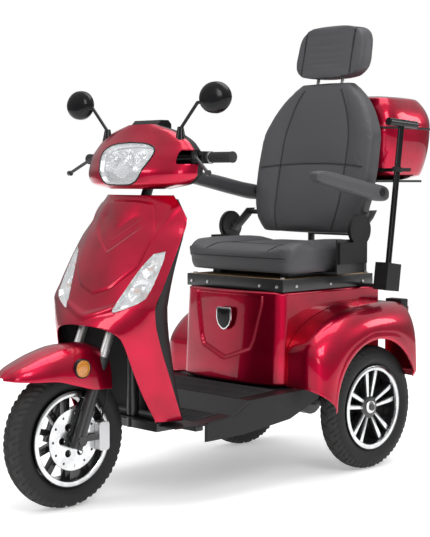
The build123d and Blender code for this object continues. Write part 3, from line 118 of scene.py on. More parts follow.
class Tree:
    """A node tree under construction, for a material or for the world."""

    def __init__(self, tree: bpy.types.NodeTree) -> None:
        """Work on the nodes and links of that tree."""
        self.nodes = tree.nodes
        self.links = tree.links

    def feed(self, socket: bpy.types.NodeSocket, value: object) -> None:
        """Give a socket a link or a constant."""
        if isinstance(value, Value):
            self.links.new(value.socket, socket)
        elif isinstance(value, (tuple, list)) and socket.type == "RGBA":
            socket.default_value = (*value, 1.0)[:4]
        else:
            socket.default_value = value

    def node(self, kind: str, settings: Dict[str, object], inputs: Dict[object, object],
             output: object = 0) -> Value:
        """Make any node.

        Args:
            kind: the node's type.
            settings: its settings, set first; "stops" fills a colour ramp.
            inputs: values or links of its sockets, by name or number.
            output: the output to return, by name or number.
        Returns:
            The chosen output.
        """
        made = self.nodes.new(kind)
        for key, setting in settings.items():
            if key == "stops":
                ramp = made.color_ramp.elements
                for index, (position, colour) in enumerate(setting):
                    element = ramp[index] if index < 2 else ramp.new(position)
                    element.position = position
                    element.color = (*colour, 1.0)
            else:
                setattr(made, key, setting)
        for key, value in inputs.items():
            self.feed(made.inputs[key], value)
        return Value(self, made.outputs[output])

    def split(self, vector: Value) -> List[Value]:
        """The three parts of a vector."""
        made = self.nodes.new("ShaderNodeSeparateXYZ")
        self.feed(made.inputs[0], vector)
        return [Value(self, socket) for socket in made.outputs]

    def blend(self, factor: object, first: object, second: object) -> Value:
        """Mix two colours."""
        made = self.nodes.new("ShaderNodeMix")
        made.data_type = "RGBA"
        self.feed(made.inputs[0], factor)
        self.feed(made.inputs[6], first)
        self.feed(made.inputs[7], second)
        return Value(self, made.outputs[2])


class Surface(Tree):
    """One material under construction: its nodes and its Principled shader."""

    def __init__(self, name: str) -> None:
        """Start an empty material of that name."""
        self.material = bpy.data.materials.new(name)
        self.material.use_nodes = True
        super().__init__(self.material.node_tree)
        self.nodes.clear()
        self._place: Value | None = None

    def place(self) -> Value:
        """Object coordinates, shared by the whole material."""
        if self._place is None:
            self._place = self.node("ShaderNodeTexCoord", {}, {}, "Object")
        return self._place

    def moved(self, origin: Point, scale: Point = (1, 1, 1), turn: Point = (0, 0, 0)) -> Value:
        """Object coordinates about another origin, turned and scaled."""
        return self.node("ShaderNodeMapping", {"vector_type": "TEXTURE"}, {
            "Vector": self.place(), "Location": origin, "Rotation": turn,
            "Scale": tuple(1 / value for value in scale)}, "Vector")

    def noise(self, scale: float, detail: float = 3.0, vector: Value | None = None) -> Value:
        """Fractal noise at features per metre."""
        return self.node("ShaderNodeTexNoise", {}, {
            "Vector": vector or self.place(), "Scale": scale, "Detail": detail, "Roughness": 0.55}, "Fac")

    def cells(self, scale: float, feature: str = "F1", vector: Value | None = None) -> Value:
        """Distance field of random cells."""
        return self.node("ShaderNodeTexVoronoi", {"feature": feature}, {
            "Vector": vector or self.place(), "Scale": scale}, "Distance")

    def bump(self, height: Value, strength: float, distance: float, under: Value | None = None) -> Value:
        """A bump normal from a height.

        Args:
            height: the height field, 0 to 1.
            strength: how much of it shows.
            distance: its real height in metres.
            under: a normal that it builds on.
        Returns:
            The bumped normal.
        """
        inputs: Dict[object, object] = {"Height": height, "Strength": strength, "Distance": distance}
        if under is not None:
            inputs["Normal"] = under
        return self.node("ShaderNodeBump", {}, inputs, "Normal")

    def close(self, **sockets: object) -> bpy.types.Material:
        """Add the Principled shader with these sockets and finish the material."""
        shader = self.nodes.new("ShaderNodeBsdfPrincipled")
        out = self.nodes.new("ShaderNodeOutputMaterial")
        for key, value in sockets.items():
            self.feed(shader.inputs[key.replace("_", " ").title().replace("Ior", "IOR")], value)
        self.links.new(shader.outputs[0], out.inputs[0])
        return self.material


# ---------------------------------------------------------------- finishes
@dataclass(frozen=True)
class Finish:
    """A finish that is made into one material and kept."""

    name: str

    def surface(self) -> bpy.types.Material:
        """Build the material; each finish has its own."""
        raise NotImplementedError

    def material(self) -> bpy.types.Material:
        """The finish's material, made at its first use."""
        return bpy.data.materials.get(self.name) or self.surface()


@dataclass(frozen=True)
class CandyPaint(Finish):
    """Deep metallic paint with fine flake under a clear coat."""

    deep: Colour = (0.22, 0.0, 0.010)
    bright: Colour = (0.64, 0.0, 0.045)

    def surface(self) -> bpy.types.Material:
        """Flake in the colour and the normal, soft cloudiness, hard coat."""
        made = Surface(self.name)
        flake = made.cells(2600.0)
        cloud = made.noise(7.0, 2.0)
        colour = made.blend((flake * 0.5 + cloud * 0.6).step(0.2, 0.9), self.deep, self.bright)
        peel = made.bump(made.noise(160.0, 1.0), 0.05, 0.0004)
        return made.close(base_color=colour, metallic=0.90, roughness=made.noise(900.0) * 0.12 + 0.26,
                          coat_weight=1.0, coat_roughness=0.025, coat_ior=1.36, specular_ior_level=0.25,
                          normal=made.bump(flake, 0.08, 0.0001, peel))


@dataclass(frozen=True)
class MouldedPlastic(Finish):
    """Injection-moulded plastic with a fine spark-eroded grain and handling wear."""

    colour: Colour = (0.010, 0.010, 0.011)
    roughness: float = 0.45
    grain: float = 900.0
    depth: float = 0.25

    def surface(self) -> bpy.types.Material:
        """Grain bump, slightly uneven gloss and a little dust."""
        made = Surface(self.name)
        grain = made.cells(self.grain)
        uneven = made.noise(14.0, 4.0)
        pale = tuple(min(1.0, channel * 1.7 + 0.006) for channel in self.colour)
        return made.close(base_color=made.blend(uneven.step(0.45, 0.95) * 0.5, self.colour, pale),
                          roughness=uneven * 0.18 + (self.roughness - 0.09), specular_ior_level=0.22,
                          normal=made.bump(grain, self.depth, 0.0003))


@dataclass(frozen=True)
class GrainedLeather(Finish):
    """Upholstery vinyl with a pebbled leather grain and fine creases."""

    colour: Colour = (0.0072, 0.0075, 0.0088)

    def surface(self) -> bpy.types.Material:
        """Pebbles and fine creases in the bump; the colour is darker in the crevices between the pebbles and
        lighter on their crowns, painted shade, with random wear in the colour and the roughness.
        """
        made = Surface(self.name)
        warp = made.node("ShaderNodeVectorMath", {"operation": "MULTIPLY_ADD"}, {
            0: made.node("ShaderNodeTexNoise", {}, {"Vector": made.place(), "Scale": 60.0}, "Color"),
            1: (0.006, 0.006, 0.006), 2: made.place()}, "Vector")
        pebble = made.cells(330.0, "DISTANCE_TO_EDGE", warp).step(0.0, 0.22)
        crease = made.noise(45.0, 6.0)
        wear = made.noise(5.0, 3.0)
        height = pebble * 0.7 + crease * 0.5
        # Painted shade: the pebble mask darkens the crevices between pebbles and lightens their crowns; the
        # wear noise is random wear.
        colour = made.blend(pebble * 0.55 + wear * 0.45, tuple(channel * 0.45 for channel in self.colour),
                            tuple(channel * 1.35 for channel in self.colour))
        return made.close(base_color=colour, roughness=0.62 - pebble * 0.1 + wear * 0.12,
                          specular_ior_level=0.18,
                          normal=made.bump(height, 0.35, 0.0007))


@dataclass(frozen=True)
class TyreRubber(Finish):
    """Black tyre rubber, greyer and duller on the tread."""

    axle: Point = (0.0, 0.0, 0.0)
    radius: float = 0.205

    def surface(self) -> bpy.types.Material:
        """Moulding rings on the sidewall and dust on the tread, by distance from the axle."""
        made = Surface(self.name)
        _, along, up = made.split(made.moved(self.axle))
        distance = (along * along + up * up).maths("SQRT")
        tread = distance.step(self.radius - 0.022, self.radius - 0.008)
        dust = made.noise(22.0, 5.0)
        rings = (distance * 2200.0).maths("SINE") * 0.5 + 0.5
        colour = made.blend(tread * 0.5 + dust * 0.35, (0.012, 0.012, 0.013), (0.045, 0.044, 0.043))
        height = rings * (1 - tread) * 0.5 + made.noise(700.0) * 0.5
        return made.close(base_color=colour, roughness=0.58 + tread * 0.16 + dust * 0.1,
                          specular_ior_level=0.22,
                          normal=made.bump(height, 0.3, 0.0004))


@dataclass(frozen=True)
class BrightMetal(Finish):
    """Machined, cast or plated metal."""

    colour: Colour = (0.62, 0.63, 0.65)
    roughness: float = 0.22
    brush: Point = (400.0, 400.0, 400.0)
    coat: float = 0.0

    def surface(self) -> bpy.types.Material:
        """Brushing by stretched noise, in the roughness and the normal."""
        made = Surface(self.name)
        lines = made.noise(1.0, 3.0, made.node("ShaderNodeVectorMath", {"operation": "MULTIPLY"}, {
            0: made.place(), 1: self.brush}, "Vector"))
        stain = made.noise(30.0, 3.0)
        dark = tuple(channel * 0.72 for channel in self.colour)
        return made.close(base_color=made.blend(stain.step(0.3, 0.8), dark, self.colour), metallic=1.0,
                          roughness=lines * 0.16 + (self.roughness - 0.08),
                          normal=made.bump(lines, 0.08, 0.0002), coat_weight=self.coat)


@dataclass(frozen=True)
class PowderCoat(Finish):
    """Satin black powder coat on steel."""

    colour: Colour = (0.014, 0.014, 0.015)
    roughness: float = 0.38

    def surface(self) -> bpy.types.Material:
        """Orange-peel bump and faint scuffs."""
        made = Surface(self.name)
        scuff = made.noise(18.0, 6.0).step(0.62, 0.8)
        return made.close(base_color=made.blend(scuff * 0.4, self.colour, (0.06, 0.06, 0.06)),
                          roughness=scuff * 0.2 + self.roughness, coat_weight=0.25, coat_roughness=0.2,
                          normal=made.bump(made.noise(500.0, 2.0), 0.18, 0.0004))


@dataclass(frozen=True)
class Plywood(Finish):
    """Birch plywood: stretched grain on the faces and plies on the edges."""

    ply: float = 0.0026

    def surface(self) -> bpy.types.Material:
        """Grain along the board, dark and pale plies through its thickness."""
        made = Surface(self.name)
        _, _, up = made.split(made.place())
        plies = (up * (math.pi / self.ply)).maths("SINE").step(-0.4, 0.4)
        grain = made.noise(1.0, 6.0, made.node("ShaderNodeVectorMath", {"operation": "MULTIPLY"}, {
            0: made.place(), 1: (70.0, 8.0, 260.0)}, "Vector"))
        colour = made.blend(grain.step(0.3, 0.75), (0.36, 0.22, 0.11), (0.60, 0.43, 0.25))
        colour = made.blend(plies * 0.35, colour, (0.26, 0.15, 0.07))
        return made.close(base_color=colour, roughness=grain * 0.2 + 0.5,
                          normal=made.bump(grain, 0.25, 0.0005))


@dataclass(frozen=True)
class ClearLens(Finish):
    """Clear polycarbonate with faint vertical optics."""

    tint: Colour = (0.93, 0.95, 0.97)
    alpha: float = 0.16
    flutes: float = 700.0

    def surface(self) -> bpy.types.Material:
        """Mostly see-through, glossy, with a slight flute in the normal and the alpha."""
        made = Surface(self.name)
        across, _, _ = made.split(made.place())
        flute = (across * self.flutes).maths("SINE") * 0.5 + 0.5
        return made.close(base_color=self.tint, roughness=0.04, alpha=flute * 0.07 + self.alpha, ior=1.5,
                          coat_weight=1.0, coat_roughness=0.01, normal=made.bump(flute, 0.05, 0.0004))


@dataclass(frozen=True)
class ReflexLens(Finish):
    """Coloured lens with corner-cube cells behind a smooth face."""

    colour: Colour = (0.85, 0.30, 0.01)
    pitch: float = 420.0

    def surface(self) -> bpy.types.Material:
        """Cells in the colour and the bump under a clear coat."""
        made = Surface(self.name)
        cell = made.cells(self.pitch)
        dark = tuple(channel * 0.45 for channel in self.colour)
        return made.close(base_color=made.blend(cell.step(0.1, 0.6), self.colour, dark),
                          roughness=cell * 0.2 + 0.12,
                          coat_weight=1.0, coat_roughness=0.02, normal=made.bump(cell, 0.5, 0.0006))


@dataclass(frozen=True)
class Ribbed(Finish):
    """Dark rubber with straight moulded ribs."""

    pitch: float = 0.008
    along: int = 1
    colour: Colour = (0.016, 0.016, 0.017)

    def surface(self) -> bpy.types.Material:
        """Ribs across one axis in the bump; the colour is lighter on the rib crests and darker in the grooves,
        painted shade, with random dust on top.
        """
        made = Surface(self.name)
        parts = made.split(made.place())
        rib = (parts[self.along] * (math.tau / self.pitch)).maths("SINE").step(-0.2, 0.5)
        dust = made.noise(20.0, 4.0)
        # Painted shade: rib lightens the crests and leaves the grooves dark; the dust noise is random dust.
        colour = made.blend(dust * 0.4 + rib * 0.3, self.colour,
                            tuple(channel * 2.6 for channel in self.colour))
        return made.close(base_color=colour, roughness=dust * 0.15 + 0.62, specular_ior_level=0.22,
                          normal=made.bump(rib, 0.6, 0.0012))


RED = CandyPaint("candy_red_paint")
BLACK_PLASTIC = MouldedPlastic("black_moulded_plastic")
GLOSS_BLACK = MouldedPlastic("gloss_black_plastic", (0.008, 0.008, 0.009), 0.14, 700.0, 0.03)
FLOOR_PLASTIC = MouldedPlastic("floor_plastic", (0.009, 0.009, 0.010), 0.36, 1100.0, 0.18)
SEAT_LEATHER = GrainedLeather("seat_leather")
FRAME_COAT = PowderCoat("black_powder_coat")
STEEL = BrightMetal("bright_steel", (0.60, 0.61, 0.62), 0.24, (40.0, 900.0, 900.0))
CHROME = BrightMetal("chrome", (0.80, 0.81, 0.82), 0.10, (300.0, 300.0, 300.0))
CAST_ALLOY = BrightMetal("cast_alloy", (0.52, 0.53, 0.54), 0.38, (700.0, 700.0, 700.0))
MACHINED = BrightMetal("machined_alloy", (0.78, 0.79, 0.80), 0.20, (900.0, 250.0, 250.0))
RIM_BLACK = PowderCoat("rim_black", (0.010, 0.010, 0.011), 0.22)
PLY = Plywood("birch_plywood")
LENS = ClearLens("clear_lens")
AMBER = ReflexLens("amber_reflex")
TAIL_RED = ReflexLens("tail_red", (0.42, 0.004, 0.006))
BULB_AMBER = ReflexLens("amber_bulb", (0.75, 0.26, 0.02), 260.0)
STEP_RUBBER = Ribbed("step_rubber", 0.014, 1)
GRIP_RUBBER = Ribbed("grip_rubber", 0.0062, 0, (0.012, 0.012, 0.013))


# ---------------------------------------------------------------- mesh tools
def edges_of(verts: Sequence[bmesh.types.BMVert]) -> List[bmesh.types.BMEdge]:
    """The edges at these corners, each once, in the same order every run."""
    return list(dict.fromkeys(edge for vert in verts for edge in vert.link_edges))


class Mesher:
    """A bmesh under construction, drawn in millimetres and made metres when it is done."""

    def __init__(self) -> None:
        """Start empty."""
        self.bm = bmesh.new()

    def sheet(self, across: int, along: int, place: Callable[[float, float],
                                                             Point]) -> List[bmesh.types.BMVert]:
        """A grid whose points are placed by a function of two shares from 0 to 1.

        Args:
            across: cells in the first direction.
            along: cells in the second direction.
            place: gives a point for each pair of shares.
        Returns:
            The new vertices.
        """
        made = bmesh.ops.create_grid(self.bm, x_segments=across, y_segments=along, size=0.5)["verts"]
        for vert in made:
            vert.co = Vector(place(min(1.0, max(0.0, vert.co.x + 0.5)), min(1.0, max(0.0, vert.co.y + 0.5))))
        return made

    def weld(self, distance: float = 0.02) -> "Mesher":
        """Merge doubled points and turn the faces outwards."""
        bmesh.ops.remove_doubles(self.bm, verts=self.bm.verts, dist=distance)
        bmesh.ops.dissolve_degenerate(self.bm, edges=self.bm.edges, dist=0.001)
        bmesh.ops.recalc_face_normals(self.bm, faces=self.bm.faces)
        return self

    def block(self, low: Sequence[float], high: Sequence[float], edge: float = 0.0,
              segments: int = 2) -> "Mesher":
        """A box between two corners with rounded edges."""
        made = bmesh.ops.create_cube(self.bm, size=1.0)["verts"]
        centre = [(a + b) / 2 for a, b in zip(low, high)]
        size = [abs(b - a) for a, b in zip(low, high)]
        bmesh.ops.scale(self.bm, vec=size, verts=made)
        bmesh.ops.translate(self.bm, vec=centre, verts=made)
        if edge:
            edges = edges_of(made)
            bmesh.ops.bevel(self.bm, geom=edges, offset=edge, segments=segments, affect="EDGES",
                            profile=0.5, material=-1)
        return self

    def rod(self, start: Sequence[float], end: Sequence[float], radius: float,
            radius_end: float | None = None,
            segments: int = 32, edge: float = 0.0) -> "Mesher":
        """A round bar or cone between two points, its rims bevelled."""
        start_v, end_v = Vector(start), Vector(end)
        span = end_v - start_v
        turn = span.to_track_quat("Z", "Y").to_matrix().to_4x4()
        made = bmesh.ops.create_cone(
            self.bm, cap_ends=True, segments=segments, radius1=radius,
            radius2=radius if radius_end is None else radius_end, depth=span.length,
            matrix=Matrix.Translation((start_v + end_v) / 2) @ turn)["verts"]
        if edge:
            rims = [one for one in edges_of(made) if len(one.link_faces) == 2
                    and max(len(face.verts) for face in one.link_faces) > 4]
            bmesh.ops.bevel(self.bm, geom=list(rims), offset=edge, segments=2, affect="EDGES", profile=0.5,
                            material=-1)
        return self

    def ball(self, centre: Sequence[float], radius: Sequence[float], segments: int = 24) -> "Mesher":
        """An ellipsoid."""
        made = bmesh.ops.create_uvsphere(self.bm, u_segments=segments, v_segments=segments // 2,
                                         radius=1.0)["verts"]
        bmesh.ops.scale(self.bm, vec=radius, verts=made)
        bmesh.ops.translate(self.bm, vec=centre, verts=made)
        return self

    def lathe(self, profile: Sequence[Tuple[float, float]], centre: Sequence[float], axis: Sequence[float],
              steps: int = 96) -> "Mesher":
        """Spin a profile of (along the axis, radius) points about an axis.

        Args:
            profile: the points, in order; a radius of 0 closes the shape.
            centre: a point on the axis.
            axis: the axis, of length 1 and along X, Y or Z.
            steps: faces round the turn.
        Returns:
            This mesher.
        """
        axis_v, centre_v = Vector(axis), Vector(centre)
        side = Vector((0, 0, 1)) if abs(axis_v.z) < 0.5 else Vector((1, 0, 0))
        side = (side - axis_v * side.dot(axis_v)).normalized()
        verts = [self.bm.verts.new(centre_v + axis_v * along + side * radius) for along, radius in profile]
        edges = [self.bm.edges.new(pair) for pair in zip(verts, verts[1:])]
        bmesh.ops.spin(self.bm, geom=[*verts, *edges], cent=centre_v, axis=axis_v, angle=math.tau,
                       steps=steps,
                       use_merge=True)
        return self

    def tube(self, points: Sequence[Sequence[float]], radii: Sequence[float] | float,
             segments: int = 20, flatten: float = 1.0) -> "Mesher":
        """A tube through points, as bridged rings with closed ends."""
        path = [Vector(point) for point in points]
        sizes = [radii] * len(path) if isinstance(radii, (int, float)) else list(radii)
        rings = []
        for index, point in enumerate(path):
            ahead = path[min(index + 1, len(path) - 1)] - path[max(index - 1, 0)]
            turn = ahead.to_track_quat("Z", "Y").to_matrix().to_4x4()
            made = bmesh.ops.create_circle(self.bm, cap_ends=False, segments=segments, radius=sizes[index],
                                           matrix=Matrix.Translation(point) @ turn)["verts"]
            if flatten != 1.0:
                for vert in made:
                    vert.co.x = point.x + (vert.co.x - point.x) * flatten
            rings.append(edges_of(made))
        for first, second in zip(rings, rings[1:]):
            bmesh.ops.bridge_loops(self.bm, edges=first + second)
        for ring in (rings[0], rings[-1]):
            bmesh.ops.holes_fill(self.bm, edges=ring, sides=0)
        return self

    def trim(self, outline: Sequence[Tuple[float, float]], keep_inside: bool,
             lift: Callable[[float, float], Point]) -> "Mesher":
        """Cut the skin along an outline seen from the front, and draw its new edge onto the outline.

        Args:
            outline: closed outline of (x, z) points.
            keep_inside: keep what is inside the outline, or what is outside.
            lift: puts an (x, z) point back on the skin.
        Returns:
            This mesher.
        """
        gone = [face for face in self.bm.faces
                if inside((face.calc_center_median().x, face.calc_center_median().z), outline) != keep_inside]
        old = {vert for vert in self.bm.verts if vert.is_boundary}
        bmesh.ops.delete(self.bm, geom=gone, context="FACES")
        ring = [*outline, outline[0]]
        for vert in self.bm.verts:
            if vert.is_boundary and (vert not in old or keep_inside):
                x, z = nearest((vert.co.x, vert.co.z), ring)
                if math.hypot(x - vert.co.x, z - vert.co.z) < 14:
                    vert.co = Vector(lift(x, z))
        return self

    def prism(self, outline: Sequence[Tuple[float, float]], low: float, high: float, edge: float = 0.0,
              segments: int = 3) -> "Mesher":
        """A (y, z) outline drawn out along X and rounded."""
        verts = [self.bm.verts.new((low, y, z)) for y, z in outline]
        face = self.bm.faces.new(verts)
        made = bmesh.ops.extrude_face_region(self.bm, geom=[face])["geom"]
        top = [one for one in made if isinstance(one, bmesh.types.BMVert)]
        bmesh.ops.translate(self.bm, vec=(high - low, 0, 0), verts=top)
        bmesh.ops.recalc_face_normals(self.bm, faces=self.bm.faces)
        if edge:
            edges = edges_of([*verts, *top])
            bmesh.ops.bevel(self.bm, geom=list(edges), offset=edge, segments=segments, affect="EDGES",
                            profile=0.5, material=-1)
        return self

    def around(self, centre: Sequence[float], axis: Sequence[float], count: int) -> "Mesher":
        """Repeat everything so far evenly round an axis."""
        geometry = [*self.bm.verts, *self.bm.edges, *self.bm.faces]
        bmesh.ops.spin(self.bm, geom=geometry, cent=centre, axis=axis, angle=math.tau * (count - 1) / count,
                       steps=count - 1, use_duplicate=True)
        return self

    def take(self, other: "Mesher") -> None:
        """Take over another mesher's geometry."""
        mesh = bpy.data.meshes.new("taken")
        other.bm.to_mesh(mesh)
        other.bm.free()
        self.bm.from_mesh(mesh)
        bpy.data.meshes.remove(mesh)

    def done(self, name: str, finish: Finish, sharp: float = 35.0) -> bpy.types.Object:
        """Turn the bmesh into a smooth-shaded object at the origin with a finish."""
        bmesh.ops.scale(self.bm, vec=(MM, MM, MM), verts=self.bm.verts)
        mesh = bpy.data.meshes.new(name)
        self.bm.to_mesh(mesh)
        self.bm.free()
        mesh.shade_smooth()
        mesh.set_sharp_from_angle(angle=math.radians(sharp))
        mesh.materials.append(finish.material())
        made = bpy.data.objects.new(name, mesh)
        bpy.context.scene.collection.objects.link(made)
        return made


def face_out(bm: bmesh.types.BMesh, towards: Vector) -> None:
    """Turn an open skin's faces so that most look in a direction."""
    total = sum((face.normal * face.calc_area() for face in bm.faces), Vector())
    if total.dot(towards) < 0:
        bmesh.ops.reverse_faces(bm, faces=bm.faces)


def refined(path: Sequence[Vector], step: float) -> List[Vector]:
    """A path with more points, none further apart than the step."""
    made = [path[0]]
    for start, end in zip(path, path[1:]):
        count = max(1, math.ceil((end - start).length / step))
        made += [start.lerp(end, (index + 1) / count) for index in range(count)]
    return made


def thicken(piece: bpy.types.Object, wall: float, edge: float = 0.0, even: bool = True) -> None:
    """Give a skin its wall in millimetres, inwards, and round its rim."""
    solid = piece.modifiers.new("wall", "SOLIDIFY")
    solid.thickness = wall * MM
    solid.offset = -1.0
    solid.use_even_offset = even
    if edge:
        bevel = piece.modifiers.new("rim", "BEVEL")
        bevel.width = edge * MM
        bevel.segments = 2
        bevel.limit_method = "ANGLE"
        bevel.angle_limit = math.radians(50)


def settle(piece: bpy.types.Object, body: str, slot: str, *nodes: str) -> bpy.types.Object:
    """Let a finished piece ride and stand for CAD nodes."""
    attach(piece, body)
    if nodes:
        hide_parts(*nodes)
    LOG.info("%s rides on %s and stands for %s", piece.name, body, ", ".join(nodes) or "no node")
    return piece


def smooth_curve(keys: Sequence[float], values: Sequence[float], at: float) -> float:
    """A smooth curve through (key, value) pairs, its keys rising."""
    if at <= keys[0]:
        return values[0]
    if at >= keys[-1]:
        return values[-1]
    index = max(i for i, key in enumerate(keys[:-1]) if key <= at)
    span = keys[index + 1] - keys[index]
    share = (at - keys[index]) / span

    def slope(i: int) -> float:
        """Slope at one key, flat at a peak."""
        if i == 0 or i == len(keys) - 1:
            near = min(max(i, 0), len(keys) - 2)
            return (values[near + 1] - values[near]) / (keys[near + 1] - keys[near])
        before = (values[i] - values[i - 1]) / (keys[i] - keys[i - 1])
        after = (values[i + 1] - values[i]) / (keys[i + 1] - keys[i])
        return 0.0 if before * after <= 0 else 2 * before * after / (before + after)

    m0, m1 = slope(index) * span, slope(index + 1) * span
    s2, s3 = share * share, share ** 3
    return ((2 * s3 - 3 * s2 + 1) * values[index] + (s3 - 2 * s2 + share) * m0
            + (3 * s2 - 2 * s3) * values[index + 1] + (s3 - s2) * m1)


def ease(low: float, high: float, at: float) -> float:
    """Smooth step from 0 at low to 1 at high."""
    share = min(1.0, max(0.0, (at - low) / (high - low)))
    return share * share * (3 - 2 * share)


def from_line(point: Tuple[float, float], line: Sequence[Tuple[float, float]]) -> float:
    """Distance from a point to an open line of points, in a plane."""
    spot = nearest(point, line)
    return math.hypot(point[0] - spot[0], point[1] - spot[1])


def nearest(point: Tuple[float, float], line: Sequence[Tuple[float, float]]) -> Tuple[float, float]:
    """The point of an open line that is nearest to a point, in a plane."""
    best, found = 1e9, line[0]
    for (x0, y0), (x1, y1) in zip(line, line[1:]):
        dx, dy = x1 - x0, y1 - y0
        share = ((point[0] - x0) * dx + (point[1] - y0) * dy) / max(dx * dx + dy * dy, 1e-12)
        share = min(1.0, max(0.0, share))
        spot = (x0 + share * dx, y0 + share * dy)
        gap = math.hypot(point[0] - spot[0], point[1] - spot[1])
        if gap < best:
            best, found = gap, spot
    return found


def inside(point: Tuple[float, float], outline: Sequence[Tuple[float, float]]) -> bool:
    """Whether a point lies in a closed outline."""
    found = False
    for (x0, y0), (x1, y1) in zip(outline, [*outline[1:], outline[0]]):
        if (y0 > point[1]) != (y1 > point[1]) and point[0] < (x1 - x0) * (point[1] - y0) / (y1 - y0) + x0:
            found = not found
    return found


def mirrored(half: Sequence[Tuple[float, float]]) -> List[Tuple[float, float]]:
    """A closed outline from its right half, given from top to bottom."""
    other = [(-x, z) for x, z in reversed(half) if x > 0]
    return [*half, *other]


# ---------------------------------------------------------------- places from the frame
@dataclass(frozen=True)
class Datum:
    """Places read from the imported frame, in millimetres."""

    front: float
    rear: float
    radius: float

    @classmethod
    def read(cls) -> "Datum":
        """Measure the tyres of the frame."""
        (low, high), (low_r, high_r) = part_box("front_tyre"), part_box("rear_tyre_left")
        return cls((low.y + high.y) / 2 / MM, (low_r.y + high_r.y) / 2 / MM, (high.z - low.z) / 2 / MM)


def box_mm(node: str) -> Tuple[Vector, Vector]:
    """A CAD node's corners in millimetres."""
    low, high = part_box(node)
    return low / MM, high / MM


# ---------------------------------------------------------------- wheels
class Side(Enum):
    """The three wheels' places."""

    FRONT = 0
    LEFT = 1
    RIGHT = -1


